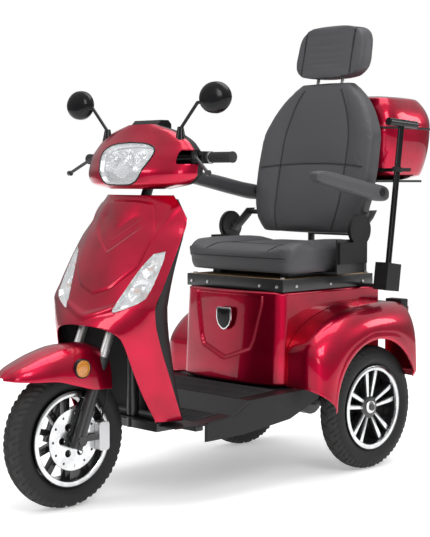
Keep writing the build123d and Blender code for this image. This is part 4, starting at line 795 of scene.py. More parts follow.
@dataclass
class Wheels:
    """Tyres with cut tread, and two-tone rims."""

    datum: Datum
    tread_cuts: int = 30
    tread_depth: float = 4.2
    steps: int = 600

    def section(self, half: float) -> List[Tuple[float, float]]:
        """The tyre's outline from bead to bead as (along the axle, radius) points."""
        outer, bead = self.datum.radius, 139.0
        points = [(-half * 0.62, bead), (-half * 0.72, bead + 3), (-half * 0.90, bead + 14)]
        for index in range(9):
            angle = math.radians(-8 + 61 * index / 8)
            points.append((-half * math.cos(angle) ** 0.7, outer - 36 + 36 * math.sin(angle) * 1.10 - 2.2))
        crown = [(-half * 0.62 + half * 1.24 * i / 26) for i in range(27)]
        points += [(x, outer - 8.5 * abs(x / (half * 0.78)) ** 2.2) for x in crown]
        return points + [(-x, radius) for x, radius in reversed(points[:12])]

    def cut(self, x: float, angle: float, half: float) -> float:
        """How deep the tread is cut at a place, from 0 to 1."""
        share = abs(x) / half
        turn = angle * self.tread_cuts / math.tau + 0.62 * share ** 1.4 + (0.5 if x < 0 else 0.0)
        wave = abs(turn % 1.0 - 0.5)
        side = 1 - ease(0.10, 0.17, wave) if 0.12 < share < 0.88 else 0.0
        short = 1 - ease(0.05, 0.11, abs((turn + 0.5) % 1.0 - 0.5)) if 0.50 < share < 0.92 else 0.0
        line = 1 - ease(1.2, 3.0, abs(abs(x) - half * 0.07 - 2.0 * math.sin(angle * self.tread_cuts)))
        return max(side, short, line * 0.8)

    def tyre(self, side: Side, node: str, body: str) -> None:
        """Build one tyre round its CAD place."""
        low, high = box_mm(node)
        centre, half = (low + high) / 2, (high.x - low.x) / 2
        made = Mesher()
        made.lathe(self.section(half), centre, (1, 0, 0), self.steps)
        for vert in made.bm.verts:
            spot = vert.co - centre
            radius = math.hypot(spot.y, spot.z)
            if radius > self.datum.radius - 22:
                depth = self.tread_depth * self.cut(spot.x, math.atan2(spot.z, spot.y), half)
                vert.co.y -= spot.y / radius * depth
                vert.co.z -= spot.z / radius * depth
        made.weld()
        finish = TyreRubber(f"tyre_rubber_{side.name.lower()}", tuple(centre * MM), self.datum.radius * MM)
        settle(made.done(f"tyre_{side.name.lower()}", finish, 28), body, "tyre_rubber", node)

    def rim(self, side: Side, node: str, body: str) -> None:
        """A cast wheel: black barrel and spokes, machined ring and, at the rear, paired bright blades."""
        low, high = box_mm(node)
        centre, half = (low + high) / 2, (high.x - low.x) / 2
        hand = -1 if side is Side.RIGHT else 1
        barrel, bright, black = Mesher(), Mesher(), Mesher()
        axis = (1, 0, 0)
        barrel.lathe([(hand * along, radius) for along, radius in (
            (-half, 122), (-half, 140), (-half + 5, 140), (-half + 5, 128), (half - 5, 128), (half - 5, 140),
            (half, 140), (half, 124), (half - 8, 121), (0, 119), (-half + 8, 120), (-half, 122))], centre,
            axis, 120)
        bright.lathe([(hand * along, radius) for along, radius in (
            (half - 9, 121), (half - 1, 123), (half + 0.6, 125), (half + 0.9, 131), (half + 0.3, 137),
            (half - 1, 139),
            (half - 2, 130), (half - 9, 121))], centre, axis, 120)
        count = 10 if side is Side.FRONT else 5
        spread = (0.0,) if side is Side.FRONT else (-1.0, 1.0)
        for maker, inner_x, lift, width in ((black, -8.0, 14.0, 1.0), (bright, 14.0, 18.0, 0.78)):
            if maker is bright and side is Side.FRONT:
                continue
            blades = Mesher()
            for lean in spread:
                start = len(blades.bm.verts)
                blades.block((centre.x + hand * inner_x, centre.y - 8, centre.z + 34),
                             (centre.x + hand * lift, centre.y + 8, centre.z + 125), 1.2, 2)
                for vert in list(blades.bm.verts)[start:]:
                    far = vert.co.z - centre.z - 34
                    waist = 0.95 - 0.25 * math.sin(far / 91 * math.pi)
                    wide = waist if side is Side.FRONT else 0.62 + 0.50 * far / 91
                    vert.co.y = centre.y + (vert.co.y
                                            - centre.y) * wide * width * 1.25 + lean * (9.5 + far * 0.165)
                    vert.co.x += hand * (7.0 * (far / 91) ** 2 if side is not Side.FRONT else 0.0)
            blades.around(centre, axis, count)
            maker.take(blades)
        hub = 42.0 if side is not Side.FRONT else 40.0
        black.lathe([(hand * along, radius) for along, radius in (
            (-26, 0), (-26, hub - 8), (-10, hub), (10, hub), (16, hub - 4), (18, hub - 12), (18, 0))],
            centre, axis, 80)
        if side is not Side.FRONT:
            black.lathe([(hand * along, radius) for along,
                         radius in ((-20, 119), (-20, 36), (-16, 36), (-16, 119))],
                        centre, axis, 80)
            bright.lathe([(hand * along, radius) for along, radius in (
                (17, 0), (17, 22), (22, 22), (24.5, 20), (25.0, 15), (26.0, 12), (27.0, 0))], centre, axis,
                64)
        name = side.name.lower()
        settle(barrel.weld().done(f"rim_barrel_{name}", RIM_BLACK, 35), body, "rim_alloy", node)
        settle(black.weld(0.001).done(f"rim_spokes_{name}", RIM_BLACK, 35), body, "rim_alloy")
        settle(bright.weld(0.001).done(f"rim_bright_{name}", MACHINED, 35), body, "rim_alloy")

    def build(self) -> None:
        """Make the three tyres and rims."""
        self.rim(Side.FRONT, "front_rim", "front_wheel")
        self.rim(Side.LEFT, "rear_rim_left", "rear_wheel_left")
        self.rim(Side.RIGHT, "rear_rim_right", "rear_wheel_right")
        self.tyre(Side.FRONT, "front_tyre", "front_wheel")
        self.tyre(Side.LEFT, "rear_tyre_left", "rear_wheel_left")
        self.tyre(Side.RIGHT, "rear_tyre_right", "rear_wheel_right")


# ---------------------------------------------------------------- bodywork skins
@dataclass
class Apron:
    """The red front apron with its centre panel, creases and pair of lamps."""

    datum: Datum
    rows: Tuple[Tuple[float, float, float, float], ...] = (
        (250, 224, 262, 60), (369, 228, 213, 55), (497, 231, 163, 55), (542, 232, 150, 68),
        (584, 233, 146, 90),
        (641, 233, 174, 118), (697, 232, 205, 145), (781, 225, 255, 185), (842, 208, 294, 215),
        (910, 150, 298, 246))
    arch: Tuple[Tuple[float, float], ...] = (
        (0, 529), (40, 528.5), (70, 526), (98, 521.5), (120, 515), (136, 507), (147, 497), (156, 472),
        (162, 439),
        (171, 378), (186, 275), (189, 252), (190, 200))
    panel: Tuple[Tuple[float, float], ...] = (
        (0, 896), (60, 894), (105, 888), (112, 884), (150, 804), (151, 796), (139, 704), (134, 696),
        (74, 642),
        (62, 636), (0, 618))
    lamp: Tuple[Tuple[float, float], ...] = (
        (202, 748), (172, 740), (158, 716), (145, 690), (122, 630), (103, 582), (105, 573), (112, 572),
        (148, 584),
        (182, 600), (200, 615), (206, 650), (208, 690), (207, 725))
    wall: float = 2.6

    def row(self, column: int, z: float) -> float:
        """One size of the apron at a height."""
        return smooth_curve([row[0] for row in self.rows], [row[column] for row in self.rows], z)

    def crease(self, x: float, z: float) -> float:
        """How far the nested V creases stand in or out of the skin."""
        lift = 0.0
        for apex, rise, half, height in ((556, 0.30, 20.0, 5.0),):
            gap = z - (apex + rise * math.hypot(x, 12.0))
            fade = 1 - ease(95, 150, abs(x))
            lift += height * fade * (ease(-half, 0, gap) - ease(0, half * 0.6, gap))
        shoulder = abs(x) - (150 + (z - 790) * 0.30)
        lift += 3.4 * math.exp(-(shoulder / 9.0) ** 2) * ease(755, 800, z) * (1 - ease(880, 900, z))
        return lift

    def at(self, x: float, z: float, out: float = 0.0, creased: bool = True) -> Point:
        """The skin's point at a width and a height, or a distance out of it."""
        half, edge, bow = self.row(1, z), self.row(2, z), self.row(3, z)
        share = min(1.0, abs(x) / half)
        back = bow + (edge - bow) * (0.78 * share ** 2 + 0.22 * share ** 6)
        lift = (self.crease(x, z) if creased else 0.0) + out
        slope = (edge - bow) * 1.9 * share / half
        length = math.sqrt(1 + slope * slope)
        sign = 1.0 if x >= 0 else -1.0
        return (x + sign * lift * slope / length, self.datum.front + back - lift / length, z)

    def shell(self) -> None:
        """The painted shell, cut for the wheel arch and the lamps."""
        made = Mesher()
        low, high = self.rows[0][0], self.rows[-1][0]

        def place(u: float, v: float) -> Point:
            """One point of the skin."""
            z = low + (high - low) * v
            return self.at((2 * u - 1) * self.row(1, z), z)

        made.sheet(124, 168, place)
        made.trim(mirrored([*self.arch]), False, self.at)
        for side in (1, -1):
            made.trim([(side * x, z) for x, z in self.lamp], False, self.at)
        made.weld()
        face_out(made.bm, Vector((0, -1, 0)))
        piece = made.done("apron_shell", RED, 50)
        thicken(piece, self.wall, 0.9)
        settle(piece, "chassis", "red_paint", "apron")

    def centre_panel(self) -> None:
        """The centre panel, a separate cover with a visible seam."""
        made = Mesher()
        outline = mirrored([*self.panel])

        def lift(x: float, z: float) -> Point:
            """The panel's outer face, domed in from its seam."""
            gap = from_line((x, z), [*outline, outline[0]])
            sunk = 0.0
            for apex, reach in ((781, 98), (744, 116)):
                over = z - (apex + 0.74 * math.hypot(x, 7.0) - 5.0)
                step = ease(-5, 4, over) * (1 - ease(4, 75, over))
                sunk += 4.6 * step * (1 - ease(reach * 0.55, reach, abs(x)))
            return self.at(x, z, 1.6 + 2.2 * ease(0, 9, gap) - sunk, False)

        made.sheet(130, 130, lambda u, v: lift(-154 + 308 * u, 614 + 286 * v))
        made.trim(outline, True, lift).weld()
        face_out(made.bm, Vector((0, -1, 0)))
        piece = made.done("apron_centre_cover", RED, 50)
        thicken(piece, 1.2, 0.4)
        settle(piece, "chassis", "red_paint", "apron_centre_panel")

    def lamps(self) -> None:
        """Each apron lamp: a bright reflector with two bowls, bulbs and a clear lens."""
        lens, bowl, bulbs = Mesher(), Mesher(), Mesher()
        centres = ((163, 634, 34), (178, 696, 27))
        for side in (1, -1):
            outline = [(side * x, z) for x, z in self.lamp]
            ring = [*outline, outline[0]]

            def cover(x: float, z: float) -> Point:
                """The lens's face."""
                return self.at(x, z, 0.6 + 4.2 * ease(0, 16, from_line((x, z), ring)), False)

            def dish(x: float, z: float) -> Point:
                """The reflector's face: a steep wall, then faceted bowls."""
                gap = from_line((x, z), ring)
                depth = 15 * ease(0, 5, gap)
                for cx, cz, size in centres:
                    far = math.hypot(x - side * cx, z - cz)
                    angle = math.atan2(z - cz, x - side * cx)
                    if far < size:
                        depth += 15 * (1 - (far / size) ** 2) + 0.7 * math.cos(angle * 14) * (far / size)
                return self.at(x, z, -depth, False)

            for maker, lift in ((lens, cover), (bowl, dish)):
                part = Mesher()
                part.sheet(76, 118, lambda u, v, lift=lift: lift(side * (98 + 114 * u), 568 + 184 * v))
                part.trim(outline, True, lift).weld()
                face_out(part.bm, Vector((0, -1, 0)))
                maker.take(part)
            for cx, cz, size in centres:
                spot = Vector(self.at(side * cx, cz, -24, False))
                bulbs.rod(spot, spot + Vector((0, -16, 0)), size * 0.13, edge=0.6)
                bulbs.ball(spot + Vector((0, -16, 0)), (size * 0.20,) * 3)
        piece = lens.done("apron_lamp_lenses", LENS, 60)
        settle(piece, "chassis", "clear_lens", "signal_lamps")
        piece = bowl.done("apron_lamp_reflectors", CHROME, 30)
        settle(piece, "chassis", "clear_lens")
        settle(bulbs.weld().done("apron_lamp_bulbs", BULB_AMBER, 40), "chassis", "amber_lens")

    def build(self) -> None:
        """Make the apron's pieces."""
        self.shell()
        self.centre_panel()
        self.lamps()


@dataclass
class Cowl:
    """The handlebar cowl in two shells, with the headlamp in its face."""

    datum: Datum
    rows: Tuple[Tuple[float, ...], ...] = (
        (928, 120, 300, 232, 345), (945, 205, 310, 209, 385), (975, 230, 318, 209, 410),
        (1015, 230, 320, 226, 418),
        (1062, 200, 318, 256, 410), (1098, 140, 312, 278, 385), (1122, 60, 308, 290, 345))
    lamp: Tuple[Tuple[float, float], ...] = (
        (0, 940), (44, 941), (60, 944), (74, 951), (84, 962), (98, 986), (112, 1012), (118, 1030),
        (116, 1042),
        (106, 1052), (84, 1060), (60, 1064), (0, 1067))
    notch: Tuple[Tuple[float, float], ...] = (
        (198, 1001), (262, 1001), (262, 1042), (198, 1042), (194, 1036), (194, 1007))

    def row(self, column: int, z: float) -> float:
        """One size of the cowl at a height."""
        return smooth_curve([row[0] for row in self.rows], [row[column] for row in self.rows], z)

    def at(self, x: float, z: float, out: float = 0.0, rear: bool = False) -> Point:
        """A point of the front or rear shell, or a distance out of it."""
        half, edge, bow = self.row(1, z), self.row(2, z), self.row(4 if rear else 3, z)
        share = min(1.0, abs(x) / half)
        back = bow + (edge - bow) * (1 - math.sqrt(max(0.0, 1 - share ** 2.3)))
        return (x, self.datum.front + back + (out if rear else -out), z)

    def shell(self, rear: bool) -> Mesher:
        """One half shell as a skin."""
        made = Mesher()
        low, high = self.rows[0][0], self.rows[-1][0]

        def place(u: float, v: float) -> Point:
            """One point, the rows and columns gathered where the shell turns over."""
            z = low + (high - low) * (0.5 - 0.5 * math.cos(math.pi * v)) ** 0.9
            return self.at(math.sin((u - 0.5) * math.pi) * self.row(1, z), z, 0.0, rear)

        made.sheet(150, 84, place)
        for side in (1, -1):
            made.trim([(side * x, z) for x, z in self.notch], False, lambda x, z: self.at(x, z, 0.0, rear))
        return made

    def headlamp(self) -> None:
        """Lens, reflector with three bowls, bulbs and a dark bezel."""
        outline = mirrored([*self.lamp])
        ring = [*outline, outline[0]]
        bowls = ((0, 1004, 44), (62, 1012, 33), (-62, 1012, 33))

        def cover(x: float, z: float) -> Point:
            """The lens's face."""
            return self.at(x, z, 0.5 + 5.0 * ease(0, 24, from_line((x, z), ring)))

        def dish(x: float, z: float) -> Point:
            """The reflector's face, faceted in the bowls."""
            gap = from_line((x, z), ring)
            depth = 15 * ease(0, 6, gap)
            for cx, cz, size in bowls:
                far = math.hypot(x - cx, (z - cz) * 1.05)
                if far < size:
                    angle = math.atan2(z - cz, x - cx)
                    depth += 20 * (1 - (far / size) ** 2) + 1.1 * math.cos(angle * 16) * (far / size)
            return self.at(x, z, -min(depth, 42.0))

        for name, lift, finish, slot in (("headlamp_lens", cover, LENS, "clear_lens"),
                                         ("headlamp_reflector", dish, CHROME, "clear_lens")):
            made = Mesher()
            made.sheet(150, 88, lambda u, v, lift=lift: lift(-121 + 242 * u, 937 + 133 * v))
            made.trim(outline, True, lift).weld()
            face_out(made.bm, Vector((0, -1, 0)))
            piece = made.done(name, finish, 40)
            settle(piece, "steering", slot, *(["headlight_lens"] if lift is cover else []))
        bulbs = Mesher()
        for cx, cz, size in bowls:
            spot = Vector(self.at(cx, cz, -34))
            bulbs.rod(spot, spot + Vector((0, -18, 0)), size * 0.13, edge=0.8)
            bulbs.ball(spot + Vector((0, -18, 0)), (size * 0.16,) * 3)
        settle(bulbs.weld().done("headlamp_bulbs", CHROME, 40), "steering", "clear_lens")
        bezel = Mesher()
        path = [Vector(self.at(x, z, -0.5)) for x, z in ring]
        bezel.tube(refined(path, 5.0), 2.6, 12)
        settle(bezel.weld().done("headlamp_bezel", GLOSS_BLACK, 40), "steering", "black_plastic")

    def build(self) -> None:
        """Make both shells and the headlamp."""
        front = self.shell(False)
        front.trim(mirrored([*self.lamp]), False, self.at).weld()
        face_out(front.bm, Vector((0, -1, 0)))
        piece = front.done("cowl_front_shell", RED, 50)
        thicken(piece, 2.4, 0.8)
        settle(piece, "steering", "red_paint", "cowl_front")
        rear = self.shell(True).weld()
        face_out(rear.bm, Vector((0, 1, 0)))
        piece = rear.done("cowl_rear_shell", BLACK_PLASTIC, 50)
        thicken(piece, 2.4, 0.8)
        settle(piece, "steering", "black_plastic", "cowl_rear")
        self.headlamp()


@dataclass
class FrontFender:
    """The red front fender, its hem and the round side reflectors."""

    datum: Datum
    rows: Tuple[Tuple[float, float, float, float], ...] = (
        (-226, 14, 396, 407), (-205, 46, 393, 424), (-157, 70, 390, 444), (-90, 82, 386, 467),
        (-20, 87, 368, 481), (50, 88, 350, 481), (112, 84, 346, 466))

    def row(self, column: int, back: float) -> float:
        """One size of the fender at a distance behind the axle."""
        return smooth_curve([row[0] for row in self.rows], [row[column] for row in self.rows], back)

    def at(self, around: float, back: float) -> Point:
        """A point of the skin; around runs from -1 at the left hem to 1 at the right one."""
        half, low, high = self.row(1, back), self.row(2, back), self.row(3, back)
        angle = around * math.pi / 2
        side = math.copysign(abs(math.sin(angle)) ** 0.62, around)
        rise = max(0.0, math.cos(angle)) ** 0.80
        ridge = 2.6 * math.exp(-(abs(around) / 0.075) ** 2)
        return (half * side, self.datum.front + back, low + (high - low - 2.6) * rise + ridge)

    def build(self) -> None:
        """Make the skin and the reflectors."""
        made = Mesher()
        low, high = self.rows[0][0], self.rows[-1][0]
        made.sheet(72, 110, lambda u, v: self.at(2 * u - 1,
                                                 low + (high - low) * v ** 1.35))
        made.weld()
        face_out(made.bm, Vector((0, 0, 1)))
        piece = made.done("front_fender_skin", RED, 55)
        thicken(piece, 2.6, 0.9)
        settle(piece, "fork_lower", "red_paint", "front_fender")
        rings, lenses = Mesher(), Mesher()
        low_box, high_box = box_mm("fender_reflectors")
        centre = (low_box + high_box) / 2
        for side in (1, -1):
            place = (side * (high_box.x - 6.5), centre.y, centre.z)
            rings.lathe([(side * out, radius) for out, radius in (
                (-9, 0), (-9, 28.5), (1.5, 28.5), (3.4, 27.6), (4.0, 26.4), (3.2, 25.2), (1.2, 24.9),
                (0, 24.4))],
                place, (1, 0, 0), 72)
            lenses.lathe([(side * out, radius) for out, radius in (
                (-2, 24.8), (2.2, 24.8), (3.0, 24.0), (3.4, 22.6), (2.9, 21.4), (3.9, 20.0), (4.6, 14),
                (5.2, 7), (5.4, 0))],
                place, (1, 0, 0), 72)
        settle(rings.weld().done("reflector_rings", GLOSS_BLACK, 40), "fork_lower", "black_plastic")
        settle(lenses.weld().done("reflector_lenses", AMBER, 40), "fork_lower", "amber_lens",
               "fender_reflectors")


@dataclass
class Tower:
    """The red battery tower under the seat, with relief lines and a plain shield badge."""

    datum: Datum
    half: float = 223.0
    levels: Tuple[Tuple[float, float, float], ...] = (
        (300, 24, 30), (345, 26, 31), (430, 31, 32), (520, 36, 33), (585, 39.4, 34), (600, 40, 34))
    back: float = 529.0
    corner: float = 26.0

    def ring_point(self, share: float, z: float, inset: float = 0.0) -> Point:
        """A point of the closed plan outline at a height, the share running from the front's middle."""
        front = smooth_curve([row[0] for row in self.levels], [row[1] for row in self.levels], z)
        bulge = smooth_curve([row[0] for row in self.levels], [row[2] for row in self.levels], z)
        half = self.half - 3 * ease(430, 600, z) - inset
        sign = 1.0 if share < 0.5 else -1.0
        run = 2 * (share if share < 0.5 else 1 - share)
        if run < 0.36:
            x = half * math.sin(run / 0.36 * math.pi / 2) ** 0.96
            corner = self.corner * max(0.0, x / half - 0.86) ** 2 * 26
            y = front + inset - bulge * (1 - (x / half) ** 2.0) + corner
        elif run < 0.66:
            x = half
            y = front + inset + self.corner * 0.51 + (self.back - inset - self.corner * 0.5 - front - inset
                                                      - self.corner * 0.51) * (run - 0.36) / 0.30
        else:
            angle = (run - 0.66) / 0.34
            x = half * (1 - angle ** 3.2) if angle < 1 else 0.0
            y = self.back - inset - self.corner * 0.5 * (1 - ease(0, 0.35, angle))
        return (sign * x, y, z)

    def relief(self, x: float, y: float, z: float) -> float:
        """Depth of the sunk front panel, which narrows to a V near the floor."""
        if y > 110:
            return 0.0
        outline = [(0, 372), (40, 386), (108, 410), (122, 440), (150, 560), (150, 586), (0, 586)]
        gap = from_line((abs(x), z), outline[:-1])
        within = inside((abs(x), z), outline)
        return 6.0 * ease(0, 9, gap) if within else 0.0

    def build(self) -> None:
        """Make the cover and the badge."""
        made = Mesher()

        def place(u: float, v: float) -> Point:
            """One point: the rims roll in at the bottom and the top."""
            z = 300 + 300 * v
            roll = 7 * ((1 - ease(0, 0.030, v)) ** 2 + (1 - ease(0, 0.030, 1 - v)) ** 2)
            x, y, z = self.ring_point(u % 1.0, z, roll)
            depth = self.relief(x, y, z)
            if y < 110:
                y += depth
            else:
                x -= math.copysign(depth, x) if abs(x) > self.half - 8 else 0.0
            return (x, y, z)

        made.sheet(300, 110, place)
        made.weld()
        face_out(made.bm, Vector((0, -1, 0)))
        outward = sum((face.normal.dot(Vector((face.calc_center_median().x,
                                               face.calc_center_median().y - 280, 0)))
                       for face in made.bm.faces), 0.0)
        if outward < 0:
            bmesh.ops.reverse_faces(made.bm, faces=made.bm.faces)
        piece = made.done("tower_cover_skin", RED, 50)
        thicken(piece, 2.6)
        settle(piece, "chassis", "red_paint", "tower_cover")
        low, high = box_mm("tower_badge")
        cz, top = (low.z + high.z) / 2, (high.z - low.z) / 2
        outline = mirrored([(0, cz + top), (28, cz + top), (34, cz + top * 0.84), (34, cz),
                            (26, cz - top * 0.55),
                            (12, cz - top * 0.88), (0, cz - top)])
        for name, scale, out, finish in (("badge_rim", 1.0, 0.0, CHROME),
                                         ("badge_face", 0.86, 1.4, GLOSS_BLACK)):
            plate = Mesher()
            verts = [plate.bm.verts.new((x * scale, low.y + 4.5 - out, cz + (z - cz) * scale))
                     for x, z in outline]
            face = plate.bm.faces.new(verts)
            made_geometry = bmesh.ops.extrude_face_region(plate.bm, geom=[face])["geom"]
            moved = [one for one in made_geometry if isinstance(one, bmesh.types.BMVert)]
            bmesh.ops.translate(plate.bm, vec=(0, -4.0, 0), verts=moved)
            bmesh.ops.bevel(plate.bm, geom=edges_of(moved), offset=1.6, segments=4, affect="EDGES", profile=0.5,
                            material=-1)
            settle(plate.weld().done(name, finish, 50), "chassis", "badge_black",
                   *(["tower_badge"] if finish is CHROME else []))


@dataclass
class RearFenders:
    """The pair of red fenders over the rear wheels, with tail lamps."""

    datum: Datum
    inner: Tuple[Tuple[float, float], ...] = (
        (-330, 300), (-325, 405), (-263, 482), (-180, 520), (-95, 540), (52, 550), (150, 545), (182, 500),
        (182, 330), (160, 300))
    outer: Tuple[Tuple[float, float], ...] = (
        (-266, 251), (-245, 330), (-200, 400), (-135, 440), (-50, 462), (45, 452), (115, 412), (150, 360),
        (156, 320), (140, 300))
    lip_centre: Tuple[float, float] = (-44.0, 235.0)
    lip_radius: float = 205.0
    inner_x: float = 223.6
    outer_x: float = 375.0

    def along(self, line: Sequence[Tuple[float, float]], share: float) -> Tuple[float, float]:
        """A smooth point of a profile at a share of its points."""
        keys = list(range(len(line)))
        at = share * (len(line) - 1)
        return smooth_curve(keys, [p[0] for p in line], at), smooth_curve(keys, [p[1] for p in line], at)

    def at(self, u: float, v: float, side: int) -> Point:
        """A point of the skin: u runs out from the tower and down to the lip."""
        inner, outer = self.along(self.inner, v), self.along(self.outer, v)
        angle = math.radians(184 - 158 * v)
        lip = (self.lip_centre[0] + self.lip_radius * math.cos(angle),
               self.lip_centre[1] + self.lip_radius * math.sin(angle))
        if u < 0.62:
            share = u / 0.62
            round_off = max(0.0, (share - 0.36) / 0.64)
            x = self.inner_x + (self.outer_x - 2 - self.inner_x) * (
                share * 1.22 if share < 0.36 else 0.44 + 0.56 * math.sin(round_off * math.pi / 2))
            fall = 1 - math.cos(round_off * math.pi / 2)
            y, z = (inner[0] + (outer[0] - inner[0]) * fall, inner[1] + (outer[1] - inner[1]) * fall)
        else:
            share = (u - 0.62) / 0.38
            x = self.outer_x - 2 + 1.6 * math.sin(share * math.pi) - 5 * max(0.0, share - 0.85) / 0.15
            y, z = outer[0] + (lip[0] - outer[0]) * share, outer[1] + (lip[1] - outer[1]) * share
        return (side * x, self.datum.rear + y, z)

    def build(self) -> None:
        """Make both fenders and both lamps."""
        for side, suffix in ((1, "left"), (-1, "right")):
            made = Mesher()
            made.sheet(84, 150, lambda u, v, side=side: self.at(u, v, side))
            made.weld()
            face_out(made.bm, Vector((side, 0, 1)))
            piece = made.done(f"rear_fender_skin_{suffix}", RED, 50)
            thicken(piece, 2.6, 0.9, False)
            settle(piece, "chassis", "red_paint", f"rear_fender_{suffix}")
        self.lamps()

    def lamps(self) -> None:
        """Tail lamps: a clear upper window, a red lower one and a black case."""
        low, high = box_mm("tail_lamps")
        inner = high.x - 68
        case, red, clear = Mesher(), Mesher(), Mesher()
        middle = low.z + (high.z - low.z) * 0.56
        for side in (1, -1):
            x0, x1 = sorted((side * inner, side * high.x))
            case.block((x0, low.y, low.z), (x1, high.y - 9, high.z), 3.0, 3)
            red.block((x0 + 2, high.y - 12, low.z + 2), (x1 - 2, high.y, middle), 4.0, 4)
            clear.block((x0 + 2, high.y - 12, middle + 0.8), (x1 - 2, high.y, high.z - 2), 4.0, 4)
        settle(case.weld().done("tail_lamp_cases", BLACK_PLASTIC, 40), "chassis", "black_plastic")
        settle(red.weld().done("tail_lamp_red", TAIL_RED, 40), "chassis", "tail_lens", "tail_lamps")
        settle(clear.weld().done("tail_lamp_clear",
                                 ClearLens("tail_lamp_clear_lens", (0.9, 0.9, 0.9), 0.55), 40),
               "chassis", "clear_lens")


@dataclass
class Floor:
    """The foot floor with its ribbed mats and edge strips."""

    datum: Datum
    top: Tuple[Tuple[float, float], ...] = ((-451, 236), (-249, 252), (-176, 289), (-4, 294), (134, 298))
    half: float = 289.0
    rib_pitch: float = 11.5

    def height(self, y: float) -> float:
        """The floor's top at a row y."""
        for (y0, z0), (y1, z1) in zip(self.top, self.top[1:]):
            if y0 <= y <= y1:
                return z0 + (z1 - z0) * (y - y0) / (y1 - y0)
        return self.top[-1][1]

    def build(self) -> None:
        """Make the mats' ribs and the edge strips; the board itself is the frame's."""
        mats = Mesher()
        for start, end in ((-359.0, -251.0), (-171.0, -4.0)):
            outline = [(start, self.height(start)), (end, self.height(end)), (end, self.height(end) + 1.6),
                       (start, self.height(start) + 1.6)]
            mats.prism(outline, -225, 225, 0.6, 2)
            count = int((end - start - 8) / self.rib_pitch)
            for index in range(count):
                y = start + 8 + index * self.rib_pitch
                mats.block((-219, y, self.height(y) + 0.8), (219, y + 6.2, self.height(y) + 3.6), 1.1, 2)
        settle(mats.weld(0.001).done("floor_mats", STEP_RUBBER, 40), "chassis", "mat_rubber", "floor_mat")
        strips = Mesher()
        for side in (1, -1):
            path = [Vector((side * (self.half - 4), y, self.height(y) - 1.2)) for y in (-362, -320, -249.5)]
            path += [Vector((side * (self.half - 4), y, self.height(y) - 1.2))
                     for y in (-248, -177, -175, -90, -4, 60, 132)]
            strips.tube(refined(path, 18), 4.2, 12)
        settle(strips.weld().done("floor_edge_strips", FLOOR_PLASTIC, 40), "chassis", "floor_grey")


# ---------------------------------------------------------------- seat
@dataclass(frozen=True)
class Stitch:
    """A run of thread along a seam."""

    length: float = 5.2
    gap: float = 3.0
    radius: float = 0.55


